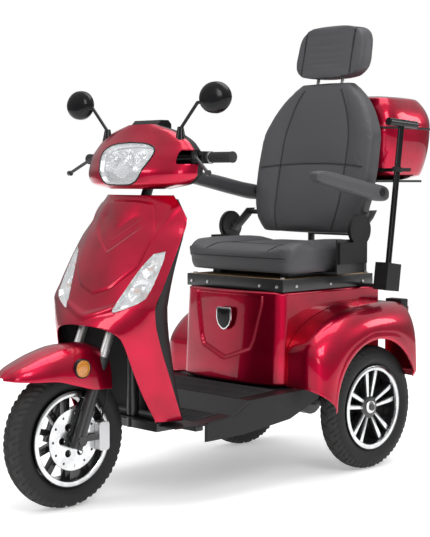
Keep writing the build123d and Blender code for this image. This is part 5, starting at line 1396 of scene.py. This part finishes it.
@dataclass
class Seat:
    """Captain's seat in leather-look vinyl: cushion, back, headrest and armrests."""

    datum: Datum
    back_lean: float = math.tan(math.radians(12))
    back_row: float = 368.0
    back_foot: float = 773.0
    head_middle: float = 1399.0
    outline: Tuple[Tuple[float, float], ...] = (
        (773, 202), (830, 236), (900, 250), (1000, 253), (1093, 250), (1180, 215), (1250, 160), (1292, 108))

    def upholster(self, name: str, shape: Callable[[float, float, float], Point],
                  seams: Callable[[Vector], float],
                  pressure: float, cap: float, voxel: float = 5.5) -> bpy.types.Object:
        """Sew one pad: a rough closed form, remeshed, blown up as cloth between its seams.

        Args:
            name: the piece's name.
            shape: puts a point of the cube from -1 to 1 on the pad.
            seams: 1 on a seam or where the pad rests, down to 0 between them, by place in millimetres.
            pressure: how hard the pad is filled.
            cap: the furthest that a point may move, in millimetres.
            voxel: the mesh size, in millimetres.
        Returns:
            The finished piece.
        """
        made = Mesher()
        bmesh.ops.create_cube(made.bm, size=2.0)
        bmesh.ops.subdivide_edges(made.bm, edges=made.bm.edges, cuts=23, use_grid_fill=True)
        for vert in made.bm.verts:
            vert.co = Vector(shape(*vert.co))
        piece = made.weld().done(name, SEAT_LEATHER, 180)
        bpy.context.view_layer.objects.active = piece
        remesh = piece.modifiers.new("even", "REMESH")
        remesh.mode = "VOXEL"
        remesh.voxel_size = voxel * MM
        self.apply(piece)
        group = piece.vertex_groups.new(name="sewn")
        for vert in piece.data.vertices:
            weight = seams(vert.co / MM)
            if weight > 0.02:
                group.add([vert.index], min(1.0, weight), "REPLACE")
        self.fill(piece, pressure, cap)
        subdivision = piece.modifiers.new("smooth", "SUBSURF")
        subdivision.levels = subdivision.render_levels = 1
        piece.data.shade_smooth()
        return piece

    @staticmethod
    def apply(piece: bpy.types.Object) -> None:
        """Make a piece's modifiers its mesh."""
        graph = bpy.context.evaluated_depsgraph_get()
        mesh = bpy.data.meshes.new_from_object(piece.evaluated_get(graph))
        old = piece.data
        piece.modifiers.clear()
        piece.data = mesh
        bpy.data.meshes.remove(old)

    @staticmethod
    def fill(piece: bpy.types.Object, pressure: float, cap: float) -> None:
        """Run the cloth for twenty frames and keep the capped result."""
        cloth = piece.modifiers.new("cloth", "CLOTH")
        settings = cloth.settings
        settings.quality = 5
        settings.mass = 0.25
        settings.tension_stiffness = 12
        settings.compression_stiffness = 12
        settings.shear_stiffness = 6
        settings.bending_stiffness = 0.6
        settings.use_pressure = True
        settings.uniform_pressure_force = pressure
        settings.effector_weights.gravity = 0
        settings.vertex_group_mass = "sewn"
        cloth.point_cache.frame_start = 1
        cloth.point_cache.frame_end = 20
        rest = [vert.co.copy() for vert in piece.data.vertices]
        scene = bpy.context.scene
        for frame_number in range(1, 21):
            scene.frame_set(frame_number)
        graph = bpy.context.evaluated_depsgraph_get()
        blown = [vert.co.copy() for vert in piece.evaluated_get(graph).data.vertices]
        piece.modifiers.remove(cloth)
        scene.frame_set(1)
        for vert, start, end in zip(piece.data.vertices, rest, blown):
            move = end - start
            if move.length > cap * MM:
                move *= cap * MM / move.length
            vert.co = start + move

    def seam_line(self, piece: bpy.types.Object, name: str, path: Sequence[Point], towards: Point,
                  body: str, double: float = 0.0) -> None:
        """Lay a welt and a row of stitches on a pad along a path.

        Args:
            piece: the pad.
            name: the new piece's name.
            path: points outside the pad, in millimetres.
            towards: the direction in which the pad lies.
            body: the body that it rides on.
            double: distance of the stitches from the welt.
        """
        graph = bpy.context.evaluated_depsgraph_get()
        shown = piece.evaluated_get(graph)
        aim = Vector(towards).normalized()
        spots: List[Tuple[Vector, Vector]] = []
        for point in refined([Vector(one) for one in path], 4.0):
            hit, place, normal, _ = shown.ray_cast(point * MM, aim)
            if hit:
                spots.append((place / MM, normal))
        if len(spots) < 4:
            LOG.info("%s found nothing to lie on", name)
            return
        made = Mesher()
        made.tube([place - normal * 0.5 for place, normal in spots], 1.7, 8)
        thread = Stitch()
        travelled = 0.0
        for (start, normal), (end, _) in zip(spots, spots[1:]):
            step = (end - start).length
            travelled += step
            if travelled >= thread.length + thread.gap and step > 0.5:
                travelled = 0.0
                way = (end - start).normalized()
                across = way.cross(normal).normalized()
                for hand in ((1, -1) if double else ()):
                    low = start + across * hand * double + normal * 0.35
                    made.rod(low, low + way * thread.length, thread.radius, segments=6)
        settle(made.done(name, BLACK_PLASTIC, 60), body, "seat_leather")

    def cushion(self) -> None:
        """The seat cushion with raised side bolsters."""
        low, high = box_mm("seat_cushion")
        nose = 26.0
        cx, cy = 0.0, (low.y - nose + high.y) / 2
        half_x, half_y = (high.x - low.x) / 2 - 1, (high.y - low.y + nose) / 2 + 2
        base, thick = low.z, high.z - low.z + 4

        def shape(a: float, b: float, c: float) -> Point:
            """A rounded slab whose front edge rolls over and whose sides rise."""
            power = 7.0
            length = (abs(a) ** power + abs(b) ** power) ** (1 / power)
            scale = max(abs(a), abs(b)) / length if length > 1e-6 else 1.0
            tuck = 1 - 0.040 * abs(c) ** 3 - (0.02 if c < 0 else 0.0)
            x, y = a * scale * half_x * tuck, b * scale * half_y * tuck
            bolster = 12 * ease(0.52, 0.84, abs(x) / half_x)
            roll = 17 * ease(0.62, 1.0, -y / half_y)
            rise = (c + 1) / 2
            return (cx + x, cy + y, base + rise * (thick - 6 + bolster - roll) if c > -1 else base)

        def sewn(place: Vector) -> float:
            """Seams beside the bolsters and one across; the underside rests on its plate."""
            if place.z < base + 6:
                return 1.0
            seam = min(abs(abs(place.x) - half_x * 0.56),
                       abs(place.y - (cy - half_y * 0.30)) + (0 if abs(place.x) < half_x * 0.56 else 30))
            at_side = abs(place.x) > half_x * 0.93 or abs(place.y - cy) > half_y * 0.93
            side = abs(place.z - (base + thick * 0.52)) if at_side else 99
            return 1 - ease(0.0, 7.0, min(seam, side))

        piece = self.upholster("seat_cushion_pad", shape, sewn, 4.0, 15.0)
        settle(piece, "seat", "seat_leather", "seat_cushion")
        for hand, word in ((1, "left"), (-1, "right")):
            x = hand * half_x * 0.56
            self.seam_line(piece, f"cushion_seam_{word}",
                           [(x, cy - half_y * 0.96, high.z + 60), (x, cy + half_y * 0.9, high.z + 60)],
                           (0, 0, -1), "seat", 4.0)
        y = cy - half_y * 0.30
        self.seam_line(piece, "cushion_seam_cross",
                       [(-half_x * 0.55, y, high.z + 60), (half_x * 0.55, y, high.z + 60)],
                       (0, 0, -1), "seat", 4.0)
        front = [(x, low.y - 60, base + thick * 0.52) for x in (-half_x * 0.86, half_x * 0.86)]
        self.seam_line(piece, "cushion_seam_front", front, (0, 1, 0), "seat")

    def backrest(self) -> None:
        """The shaped backrest, with side wings, a cross seam and two upright seams."""
        z0, z1 = self.outline[0][0], self.outline[-1][0]

        def front(z: float) -> float:
            """The front face's row y at a height."""
            return self.back_row + (z - z0) * self.back_lean

        def half(z: float) -> float:
            """Half width at a height."""
            return smooth_curve([p[0] for p in self.outline], [p[1] for p in self.outline], z) + 1

        def shape(a: float, b: float, c: float) -> Point:
            """b runs from front to back and c from the bottom to the top."""
            z = z0 + 3 + (z1 - z0 - 6) * (c + 1) / 2
            width = half(z)
            thick = 98 - 25 * (c + 1) / 2
            power = 7.0
            length = (abs(a) ** power + abs(b) ** power) ** (1 / power)
            scale = max(abs(a), abs(b)) / length if length > 1e-6 else 1.0
            ends = 1 - 0.32 * abs(c) ** 9
            x = a * scale * width * (1 - 0.05 * abs(c) ** 8)
            wing = 11 * ease(0.55, 0.88, abs(x) / max(width, 1)) * (1 - ease(0.3, 0.9, abs(c)))
            hollow = 9 * (1 - (x / max(width, 1)) ** 2) * (1 - ease(0.4, 1.0, abs(c)))
            y = front(z) + thick / 2 + b * scale * (thick / 2 - 5) * ends
            if b < 0:
                y += (hollow - wing) * min(1.0, -b)
            return (x, y, z)

        cross = 1012.0

        def sewn(place: Vector) -> float:
            """The cross seam, the upright seams and the seam round the side."""
            width = half(place.z)
            depth = place.y - front(place.z)
            upright = abs(abs(place.x) - width * 0.58)
            across = abs(place.z - cross + 14 * (place.x / 240) ** 2)
            at_end = abs(place.z - z0) < 14 or abs(place.z - z1) < 16
            side = abs(depth - 52) if abs(place.x) > width * 0.9 or at_end else 99
            if depth > 60:
                return 1 - ease(0.0, 7.0, side)
            return 1 - ease(0.0, 7.0, min(upright, across, side))

        piece = self.upholster("backrest_pad", shape, sewn, 4.0, 12.0)
        settle(piece, "back", "seat_leather", "backrest")
        aim = (0, 1, 0)
        for hand, word in ((1, "left"), (-1, "right")):
            heights = [z0 + 14 + (z1 - z0 - 40) * i / 14 for i in range(15)]
            self.seam_line(piece, f"back_seam_{word}",
                           [(hand * half(z) * 0.58, front(z) - 90, z) for z in heights],
                           aim, "back", 4.0)
        wide = [(-232 + 464 * i / 16) for i in range(17)]
        self.seam_line(piece, "back_seam_cross", [(x, 300, cross - 14 * (x / 240) ** 2) for x in wide], aim,
                       "back", 4.0)
        brackets = Mesher()
        for hand in (1, -1):
            x0, x1 = sorted((hand * 275.7, hand * 281.7))
            brackets.prism([(308, 781), (344, 771), (415, 828), (435, 855), (395, 855)], x0, x1, 0.8, 2)
            lo, hi = sorted((hand * 200, hand * 276.5))
            brackets.block((lo, 403, 833), (hi, 421, 849), 1.0)
            lo, hi = sorted((hand * 225, hand * 307))
            brackets.rod((lo, 425, 915), (hi, 425, 915), 8)
        for hand in (1, -1):
            brackets.rod((hand * 275, 326, 793), (hand * 288, 326, 793), 9)
        settle(brackets.weld().done("back_brackets", FRAME_COAT, 40), "back", "black_frame")

    def headrest(self) -> None:
        """The headrest pad with seams down its sides, on two bright posts."""
        low, high = box_mm("headrest")
        pad_low = high.z - 190
        half = (high.x - low.x) / 2 - 6
        middle = self.back_row + (self.head_middle - self.back_foot) * self.back_lean + 44

        def shape(a: float, b: float, c: float) -> Point:
            """A soft block, narrower at the top and hollow in its face."""
            power = 3.6
            length = (abs(a) ** power + abs(c) ** power) ** (1 / power)
            scale = max(abs(a), abs(c)) / length if length > 1e-6 else 1.0
            z = pad_low + 95 + c * scale * 91
            x = a * scale * (half + 4 - 8 * ease(0.0, 1.0, (c * scale + 1) / 2)) * (1 - 0.05 * abs(b) ** 3)
            hollow = 8 * (1 - (x / half) ** 2) * (1 - abs(c * scale) ** 2) if b < 0 else 0.0
            face = b * 42 * (1 - 0.24 * abs(a) ** 5) + hollow * max(0.0, -b)
            y = middle + (z - self.head_middle) * self.back_lean + face
            return (x, y, z)

        def sewn(place: Vector) -> float:
            """Seams parallel to both ends."""
            return 1 - ease(0.0, 6.0, abs(abs(place.x) - half * 0.72))

        piece = self.upholster("headrest_pad", shape, sewn, 4.0, 9.0, 5.0)
        settle(piece, "head", "seat_leather", "headrest")
        for hand, word in ((1, "left"), (-1, "right")):
            x = hand * half * 0.72
            self.seam_line(piece, f"head_seam_{word}",
                           [(x, middle - 140, z) for z in range(int(pad_low) + 12, int(high.z) - 10, 8)],
                           (0, 1, 0), "head", 3.4)
            self.seam_line(piece, f"head_top_seam_{word}",
                           [(x, middle - 34 + 5 * i, high.z + 60) for i in range(14)],
                           (0, 0, -1), "head", 3.4)
        posts = Mesher()
        for hand in (1, -1):
            top_y = middle + (pad_low + 30 - self.head_middle) * self.back_lean
            foot_z = low.z + 2
            foot_y = self.back_row + (foot_z - self.back_foot) * self.back_lean + 41
            posts.rod((hand * 55, foot_y, foot_z),
                      (hand * 55, top_y, pad_low + 30), 6, edge=1.0)
        settle(posts.weld().done("headrest_posts", STEEL, 40), "head", "bright_steel")

    def armrest(self, side: int, word: str) -> None:
        """One padded armrest, tapering to its pivot."""
        low, high = box_mm(f"armrest_{word}")
        cx = (low.x + high.x) / 2
        half = (high.x - low.x) / 2 - 3
        y0, y1 = low.y + 4, high.y - 3

        def shape(a: float, b: float, c: float) -> Point:
            """A long pad with a rounded section and ends."""
            power = 4.5
            length = (abs(a) ** power + abs(c) ** power) ** (1 / power)
            scale = max(abs(a), abs(c)) / length if length > 1e-6 else 1.0
            share = (b + 1) / 2
            centre = 966.5 + (908 - 966.5) * ease(0, 1, share) * 0.5 + (908 - 966.5) * share * 0.5
            thick = 21 + 7 * share
            ends = 1 - 0.50 * abs(b) ** 14
            return (cx + a * scale * half * (1 - 0.25 * abs(b) ** 14), y0 + (y1 - y0) * share,
                    centre + c * scale * thick * ends)

        def sewn(place: Vector) -> float:
            """A seam along the pad's side and a joint near its back."""
            share = (place.y - y0) / (y1 - y0)
            centre = 966.5 + (908 - 966.5) * share
            lengthwise = abs(place.z - centre + 4) if abs(place.x - cx) > half * 0.8 else 99
            return 1 - ease(0.0, 5.0, min(lengthwise, abs(share - 0.70) * (y1 - y0)))

        piece = self.upholster(f"armrest_pad_{word}", shape, sewn, 4.0, 5.0, 4.5)
        settle(piece, f"{word}_arm", "seat_leather", f"armrest_{word}")
        cap = Mesher()
        cap.lathe([(-1.5, 0), (-1.5, 15), (1.5, 15), (3.2, 13.6), (3.6, 12), (3.2, 8), (2.4, 7), (2.4, 0)]
                  if side > 0 else
                  [(1.5, 0), (1.5, 15), (-1.5, 15), (-3.2, 13.6), (-3.6, 12), (-3.2, 8), (-2.4, 7),
                   (-2.4, 0)],
                  (side * (abs(cx) + half - 1), 425, 915), (1, 0, 0), 40)
        settle(cap.weld().done(f"armrest_pivot_cap_{word}", BLACK_PLASTIC, 40), f"{word}_arm",
               "black_plastic")

    def build(self) -> None:
        """Make every pad."""
        self.cushion()
        self.backrest()
        self.headrest()
        self.armrest(1, "left")
        self.armrest(-1, "right")


# ---------------------------------------------------------------- box, mirrors, grips
@dataclass
class TopBox:
    """The rounded luggage box: a red base with a black belt, and a lid."""

    datum: Datum

    def half_shell(self, name: str, node: str, body: str, finish: Finish, slot: str, shrink: float,
                   up: bool) -> None:
        """One half of the box as a rounded shell open at the rim.

        Args:
            name: the piece's name.
            node: the CAD node that it stands for.
            body: the body that it rides on.
            finish: its finish.
            slot: its material slot, not used.
            shrink: how far its far end draws in.
            up: whether its closed end is the top one.
        """
        low, high = box_mm(node)
        centre, size = (low + high) / 2, (high - low) / 2
        made = Mesher()

        def place(u: float, v: float) -> Point:
            """u runs round the box and v from the rim over to the middle of the closed end."""
            angle = u * math.tau
            power = 4.6
            c, s = math.cos(angle), math.sin(angle)
            length = (abs(c) ** power + abs(s) ** power) ** (1 / power)
            x, y = c / length, s / length
            turn = min(1.0, v / 0.55) if v < 0.55 else 1.0
            if v < 0.55:
                height = turn * 0.86
                inset = shrink * turn ** 2.2 * 0.55
            else:
                bend = (v - 0.55) / 0.45
                height = 0.86 + 0.14 * math.sin(min(1.0, bend * 2.2) * math.pi / 2)
                inset = shrink * (0.55 + 0.45 * min(1.0, bend * 2.2))
                fade = 1 - max(0.0, bend - 0.12) / 0.88
                x, y = x * max(0.0, fade), y * max(0.0, fade)
            z = low.z + 2 * size.z * height if up else high.z - 2 * size.z * height
            return (centre.x + x * (size.x - inset),
                    centre.y + y * (size.y - inset) - (0.35 * inset if up else 0), z)

        made.sheet(220, 90, place)
        made.weld(0.05)
        for face in made.bm.faces:
            face.smooth = True
        outward = sum(face.normal.dot(face.calc_center_median() - centre) * face.calc_area()
                      for face in made.bm.faces)
        if outward < 0:
            bmesh.ops.reverse_faces(made.bm, faces=made.bm.faces)
        piece = made.done(name, finish, 60)
        thicken(piece, 3.4, 1.2)
        settle(piece, body, slot, node)

    def deck_edges(self) -> None:
        """The steel angles that hold the plywood deck, with their bolts."""
        low, high = box_mm("seat_base_frame")
        top = min(high.z + 6, box_mm("seat_carriage")[0].z - 2)
        made, bolts = Mesher(), Mesher()
        made.block((low.x - 2, low.y - 3, low.z), (high.x + 2, low.y + 2, top), 1.2)
        for side in (1, -1):
            x0, x1 = sorted((side * (high.x - 2), side * (high.x + 3)))
            made.block((x0, low.y - 2, low.z), (x1, high.y - 4, top), 1.2)
            for y in (low.y + 60, (low.y + high.y) / 2, high.y - 60):
                bolts.rod((side * (high.x + 2), y, low.z + 16), (side * (high.x + 7), y, low.z + 16), 5.2,
                          segments=6, edge=0.8)
            for x in (0.55, 0.9):
                bolts.rod((side * high.x * x, low.y - 2, low.z + 16),
                          (side * high.x * x, low.y - 7, low.z + 16), 5.2,
                          segments=6, edge=0.8)
        settle(made.weld().done("deck_edge_angles", FRAME_COAT, 40), "chassis", "black_frame")
        settle(bolts.weld().done("deck_edge_bolts", STEEL, 40), "chassis", "bright_steel")

    def build(self) -> None:
        """Make the base, the lid, the belt and the latch."""
        self.deck_edges()
        self.half_shell("box_base_shell", "top_box_base", "chassis", RED, "red_paint", 44.0, False)
        self.half_shell("box_lid_shell", "box_lid", "lid", RED, "red_lid", 56.0, True)
        low, high = box_mm("top_box_base")
        centre, size = (low + high) / 2, (high - low) / 2
        belt = Mesher()
        path = []
        for index in range(181):
            angle = math.tau * index / 180
            c, s = math.cos(angle), math.sin(angle)
            length = (abs(c) ** 4.6 + abs(s) ** 4.6) ** (1 / 4.6)
            path.append(Vector((centre.x + c / length * (size.x - 0.5),
                                centre.y + s / length * (size.y - 0.5), high.z - 9)))
        belt.tube(path, 4.0, 10)
        settle(belt.weld().done("box_belt", BLACK_PLASTIC, 50), "chassis", "black_plastic")
        latch = Mesher()
        latch.block((-34, high.y - 9, high.z - 52), (34, high.y + 3, high.z - 16), 3.2, 3)
        latch.lathe([(-1.5, 0), (-1.5, 9.8), (1.0, 9.8), (2.5, 9), (2.5, 0)], (0, high.y + 3, high.z - 34),
                    (0, 1, 0), 36)
        settle(latch.weld().done("box_latch", CAST_ALLOY, 40), "chassis", "black_plastic")


@dataclass
class Controls:
    """Mirror heads, grips and other small parts at the handlebar."""

    datum: Datum
    grip_rib: float = 6.0

    @staticmethod
    def oval(made: Mesher, centre: Vector, size: Vector, side: int) -> None:
        """Stretch a round unit head to its width and height, cut lower at its outer end."""
        for vert in made.bm.verts:
            spot = vert.co - centre
            drop = 1 - 0.10 * (side * spot.x > 0) * spot.x ** 2
            vert.co = centre + Vector((spot.x * size.x, spot.y, spot.z * size.z * drop))

    def mirrors(self) -> None:
        """Rounded mirror heads with glass that faces the rider."""
        steps = [(-1.0, 0.0), (-0.98, 0.30), (-0.86, 0.62), (-0.60, 0.86), (-0.20, 0.975), (0.40, 1.0),
                 (0.86, 1.0), (1.0, 0.975), (0.98, 0.93), (0.72, 0.92), (0.72, 0.0)]
        pane = [(0.74, 0.918), (0.80, 0.90), (0.80, 0.0)]
        for side, word in ((1, "left"), (-1, "right")):
            low, high = box_mm(f"mirror_head_{word}")
            centre, size = (low + high) / 2, (high - low) / 2
            shell, glass = Mesher(), Mesher()
            for made, profile in ((shell, steps), (glass, pane)):
                made.lathe([(along * size.y, radius) for along, radius in profile], centre, (0, 1, 0), 96)
                self.oval(made, centre, size, side)
            settle(shell.weld().done(f"mirror_shell_{word}", GLOSS_BLACK, 40), f"{word}_mirror",
                   "black_plastic", f"mirror_head_{word}")
            settle(glass.weld().done(f"mirror_glass_{word}", CHROME, 40), f"{word}_mirror", "black_plastic")

    def grip(self, node: str, body: str, name: str) -> None:
        """A ribbed rubber grip with a collar and a rounded end."""
        low, high = box_mm(node)
        centre = (low + high) / 2
        hand = 1 if centre.x > 0 else -1
        length = high.x - low.x
        radius = (high.z - low.z) / 2
        profile = [(0.0, 11.6), (0.0, radius + 1.6), (6.0, radius + 1.6), (7.0, radius - 2.0)]
        at = 9.0
        while at < length - 10:
            profile += [(at, radius - 2.0), (at + 1.0, radius), (at + self.grip_rib - 2.6, radius),
                        (at + self.grip_rib - 1.6, radius - 2.0)]
            at += self.grip_rib
        profile += [(length - 8, radius - 1), (length - 6, radius + 1.0), (length - 2, radius + 0.6),
                    (length, radius - 3),
                    (length, 0.0)]
        start = (low.x if hand > 0 else high.x, centre.y, centre.z)
        made = Mesher()
        made.lathe([(hand * along, size) for along, size in profile], start, (1, 0, 0), 72)
        settle(made.weld().done(name, GRIP_RUBBER, 40), body, "grip_rubber", node)
        collar = Mesher()
        collar.lathe([(hand * along, size) for along, size in (
            (7.4, radius - 1.5), (8, radius + 0.6), (12, radius + 0.6), (12.8, radius - 1.5))], start,
            (1, 0, 0), 72)
        settle(collar.weld().done(f"{name}_collar", CAST_ALLOY, 40), body, "grip_rubber")

    def build(self) -> None:
        """Make mirrors and grips."""
        self.mirrors()
        self.grip("left_grip", "steering", "grip_left")
        self.grip("throttle_grip", "throttle", "grip_right")


def dress_frame(nodes: Dict[str, bpy.types.Object]) -> None:
    """Give every CAD node that still shows its finish."""
    finishes: Dict[str, Finish] = {
        "main_frame": FRAME_COAT, "seat_base_frame": FRAME_COAT, "box_rack": FRAME_COAT,
        "seat_carriage": FRAME_COAT,
        "fork_crown": FRAME_COAT, "fork_stanchions": STEEL, "fork_legs": FRAME_COAT, "handlebar": FRAME_COAT,
        "drive_axle": FRAME_COAT, "shock_bodies": FRAME_COAT, "shock_rods": STEEL, "deck_board": PLY,
        "deck_bolts": STEEL, "battery_pack": GLOSS_BLACK, "inner_legshield": BLACK_PLASTIC,
        "floor_board": FLOOR_PLASTIC, "stick_holder": BLACK_PLASTIC, "walking_stick": GLOSS_BLACK,
        "recliner_covers": BLACK_PLASTIC, "recline_lever": BLACK_PLASTIC, "control_pods": BLACK_PLASTIC,
        "instrument_panel": GLOSS_BLACK, "mirror_arms": GLOSS_BLACK, "brake_lever_left": FRAME_COAT,
        "brake_lever_right": FRAME_COAT, "horn_button": AMBER, "brake_disc": MACHINED,
        "brake_caliper": CAST_ALLOY,
        "brake_hose": BLACK_PLASTIC,
    }
    for name, piece in nodes.items():
        if piece.hide_render:
            continue
        finish = finishes.get(name, BLACK_PLASTIC)
        piece.data.materials.clear()
        piece.data.materials.append(finish.material())
        LOG.info("%s keeps its own shape in %s", name, finish.name)


# ---------------------------------------------------------------- studio
@dataclass(frozen=True)
class Studio:
    """A plain pale floor, soft lights and the camera."""

    place: Point = (3.00, -3.035, 0.96)
    azimuth: float = 45.1
    down: float = 3.92
    roll: float = 0.07
    lens: float = 88.2
    floor_half: float = 12000.0
    sky: Tuple[Tuple[float, float], ...] = ((0.48, 0.10), (0.62, 0.42), (1.0, 1.0))
    lamps: Tuple[Tuple[str, Point, Point, float, float], ...] = (
        ("key", (3.6, -1.6, 3.4), (0, -0.2, 0.6), 1.6, 62.0),
        ("front_fill", (-1.6, -4.2, 2.2), (0, -0.4, 0.7), 1.2, 26.0),
        ("top", (0.2, 0.4, 4.4), (0, 0, 0.6), 3.2, 95.0),
        ("rear_rim", (2.6, 3.4, 2.2), (0, 0.3, 0.8), 1.2, 26.0),
        ("left_fill", (4.5, -4.5, 1.6), (0, -0.2, 0.6), 1.4, 30.0))

    def lamp(self, name: str, place: Point, target: Point, size: float, power: float) -> None:
        """One soft square light."""
        data = bpy.data.lights.new(name, "AREA")
        data.shape = "SQUARE"
        data.size = size
        data.energy = power
        made = bpy.data.objects.new(name, data)
        made.location = place
        made.rotation_euler = (Vector(target) - Vector(place)).to_track_quat("-Z", "Y").to_euler()
        bpy.context.scene.collection.objects.link(made)

    def camera(self) -> None:
        """The camera, from its bearing."""
        turn, down = math.radians(self.azimuth), math.radians(self.down)
        back = Vector((math.sin(turn) * math.cos(down), -math.cos(turn) * math.cos(down), math.sin(down)))
        right = Vector((math.cos(turn), math.sin(turn), 0.0))
        up = back.cross(right)
        data = bpy.data.cameras.new("camera")
        data.sensor_fit = "VERTICAL"
        data.sensor_height = 36.0
        data.lens = self.lens
        data.clip_end = 100.0
        made = bpy.data.objects.new("camera", data)
        axes = Matrix((right, up, back)).transposed().to_4x4()
        roll = Matrix.Rotation(math.radians(self.roll), 4, "Z")
        made.matrix_world = Matrix.Translation(self.place) @ axes @ roll
        bpy.context.scene.collection.objects.link(made)
        bpy.context.scene.camera = made

    def world(self) -> None:
        """White behind the object, and a soft grey gradient for light and reflections."""
        world = bpy.data.worlds.new("studio_world")
        world.use_nodes = True
        made = Tree(world.node_tree)
        background = made.nodes["Background"]
        background.inputs[1].default_value = 1.0
        height = made.split(made.node("ShaderNodeTexCoord", {}, {}, "Generated"))[2] * 0.5 + 0.5
        stops = [(position, (level, level, level)) for position, level in self.sky]
        glow = made.node("ShaderNodeValToRGB", {"stops": stops}, {"Fac": height}, "Color")
        seen = made.node("ShaderNodeLightPath", {}, {}, "Is Camera Ray")
        made.feed(background.inputs[0], made.blend(seen, glow, (1.0, 1.0, 1.0)))
        bpy.context.scene.world = world
        bpy.context.scene.view_settings.view_transform = "Standard"

    def build(self) -> None:
        """Make the floor, the world, the lights and the camera."""
        made = Mesher()
        bmesh.ops.create_grid(made.bm, x_segments=1, y_segments=1, size=self.floor_half)
        made.done("studio_floor", StudioFloor("studio_floor_white"), 40)
        self.world()
        for name, place, target, size, power in self.lamps:
            self.lamp(name, place, target, size, power)
        self.camera()


@dataclass(frozen=True)
class StudioFloor(Finish):
    """Seamless white paper."""

    def surface(self) -> bpy.types.Material:
        """Near white, matt, with a trace of unevenness."""
        made = Surface(self.name)
        return made.close(base_color=made.blend(made.noise(0.8) * 0.3, (0.93, 0.93, 0.93),
                                                (0.90, 0.90, 0.90)),
                          roughness=made.noise(3.0) * 0.1 + 0.8, emission_color=(1.0, 1.0, 1.0),
                          emission_strength=0.34)


def main() -> None:
    """Build the scooter's looks round its frame."""
    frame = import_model()
    datum = Datum.read()
    LOG.info("front axle %.1f, rear axle %.1f, wheel %.1f", datum.front, datum.rear, datum.radius)
    for assembly in (Wheels(datum), Apron(datum), Cowl(datum), FrontFender(datum), Tower(datum),
                     RearFenders(datum),
                     Floor(datum), Seat(datum), TopBox(datum), Controls(datum)):
        LOG.info("building %s", type(assembly).__name__)
        assembly.build()
    dress_frame(frame["nodes"])
    Studio().build()


if __name__ == "__main__":
    main()
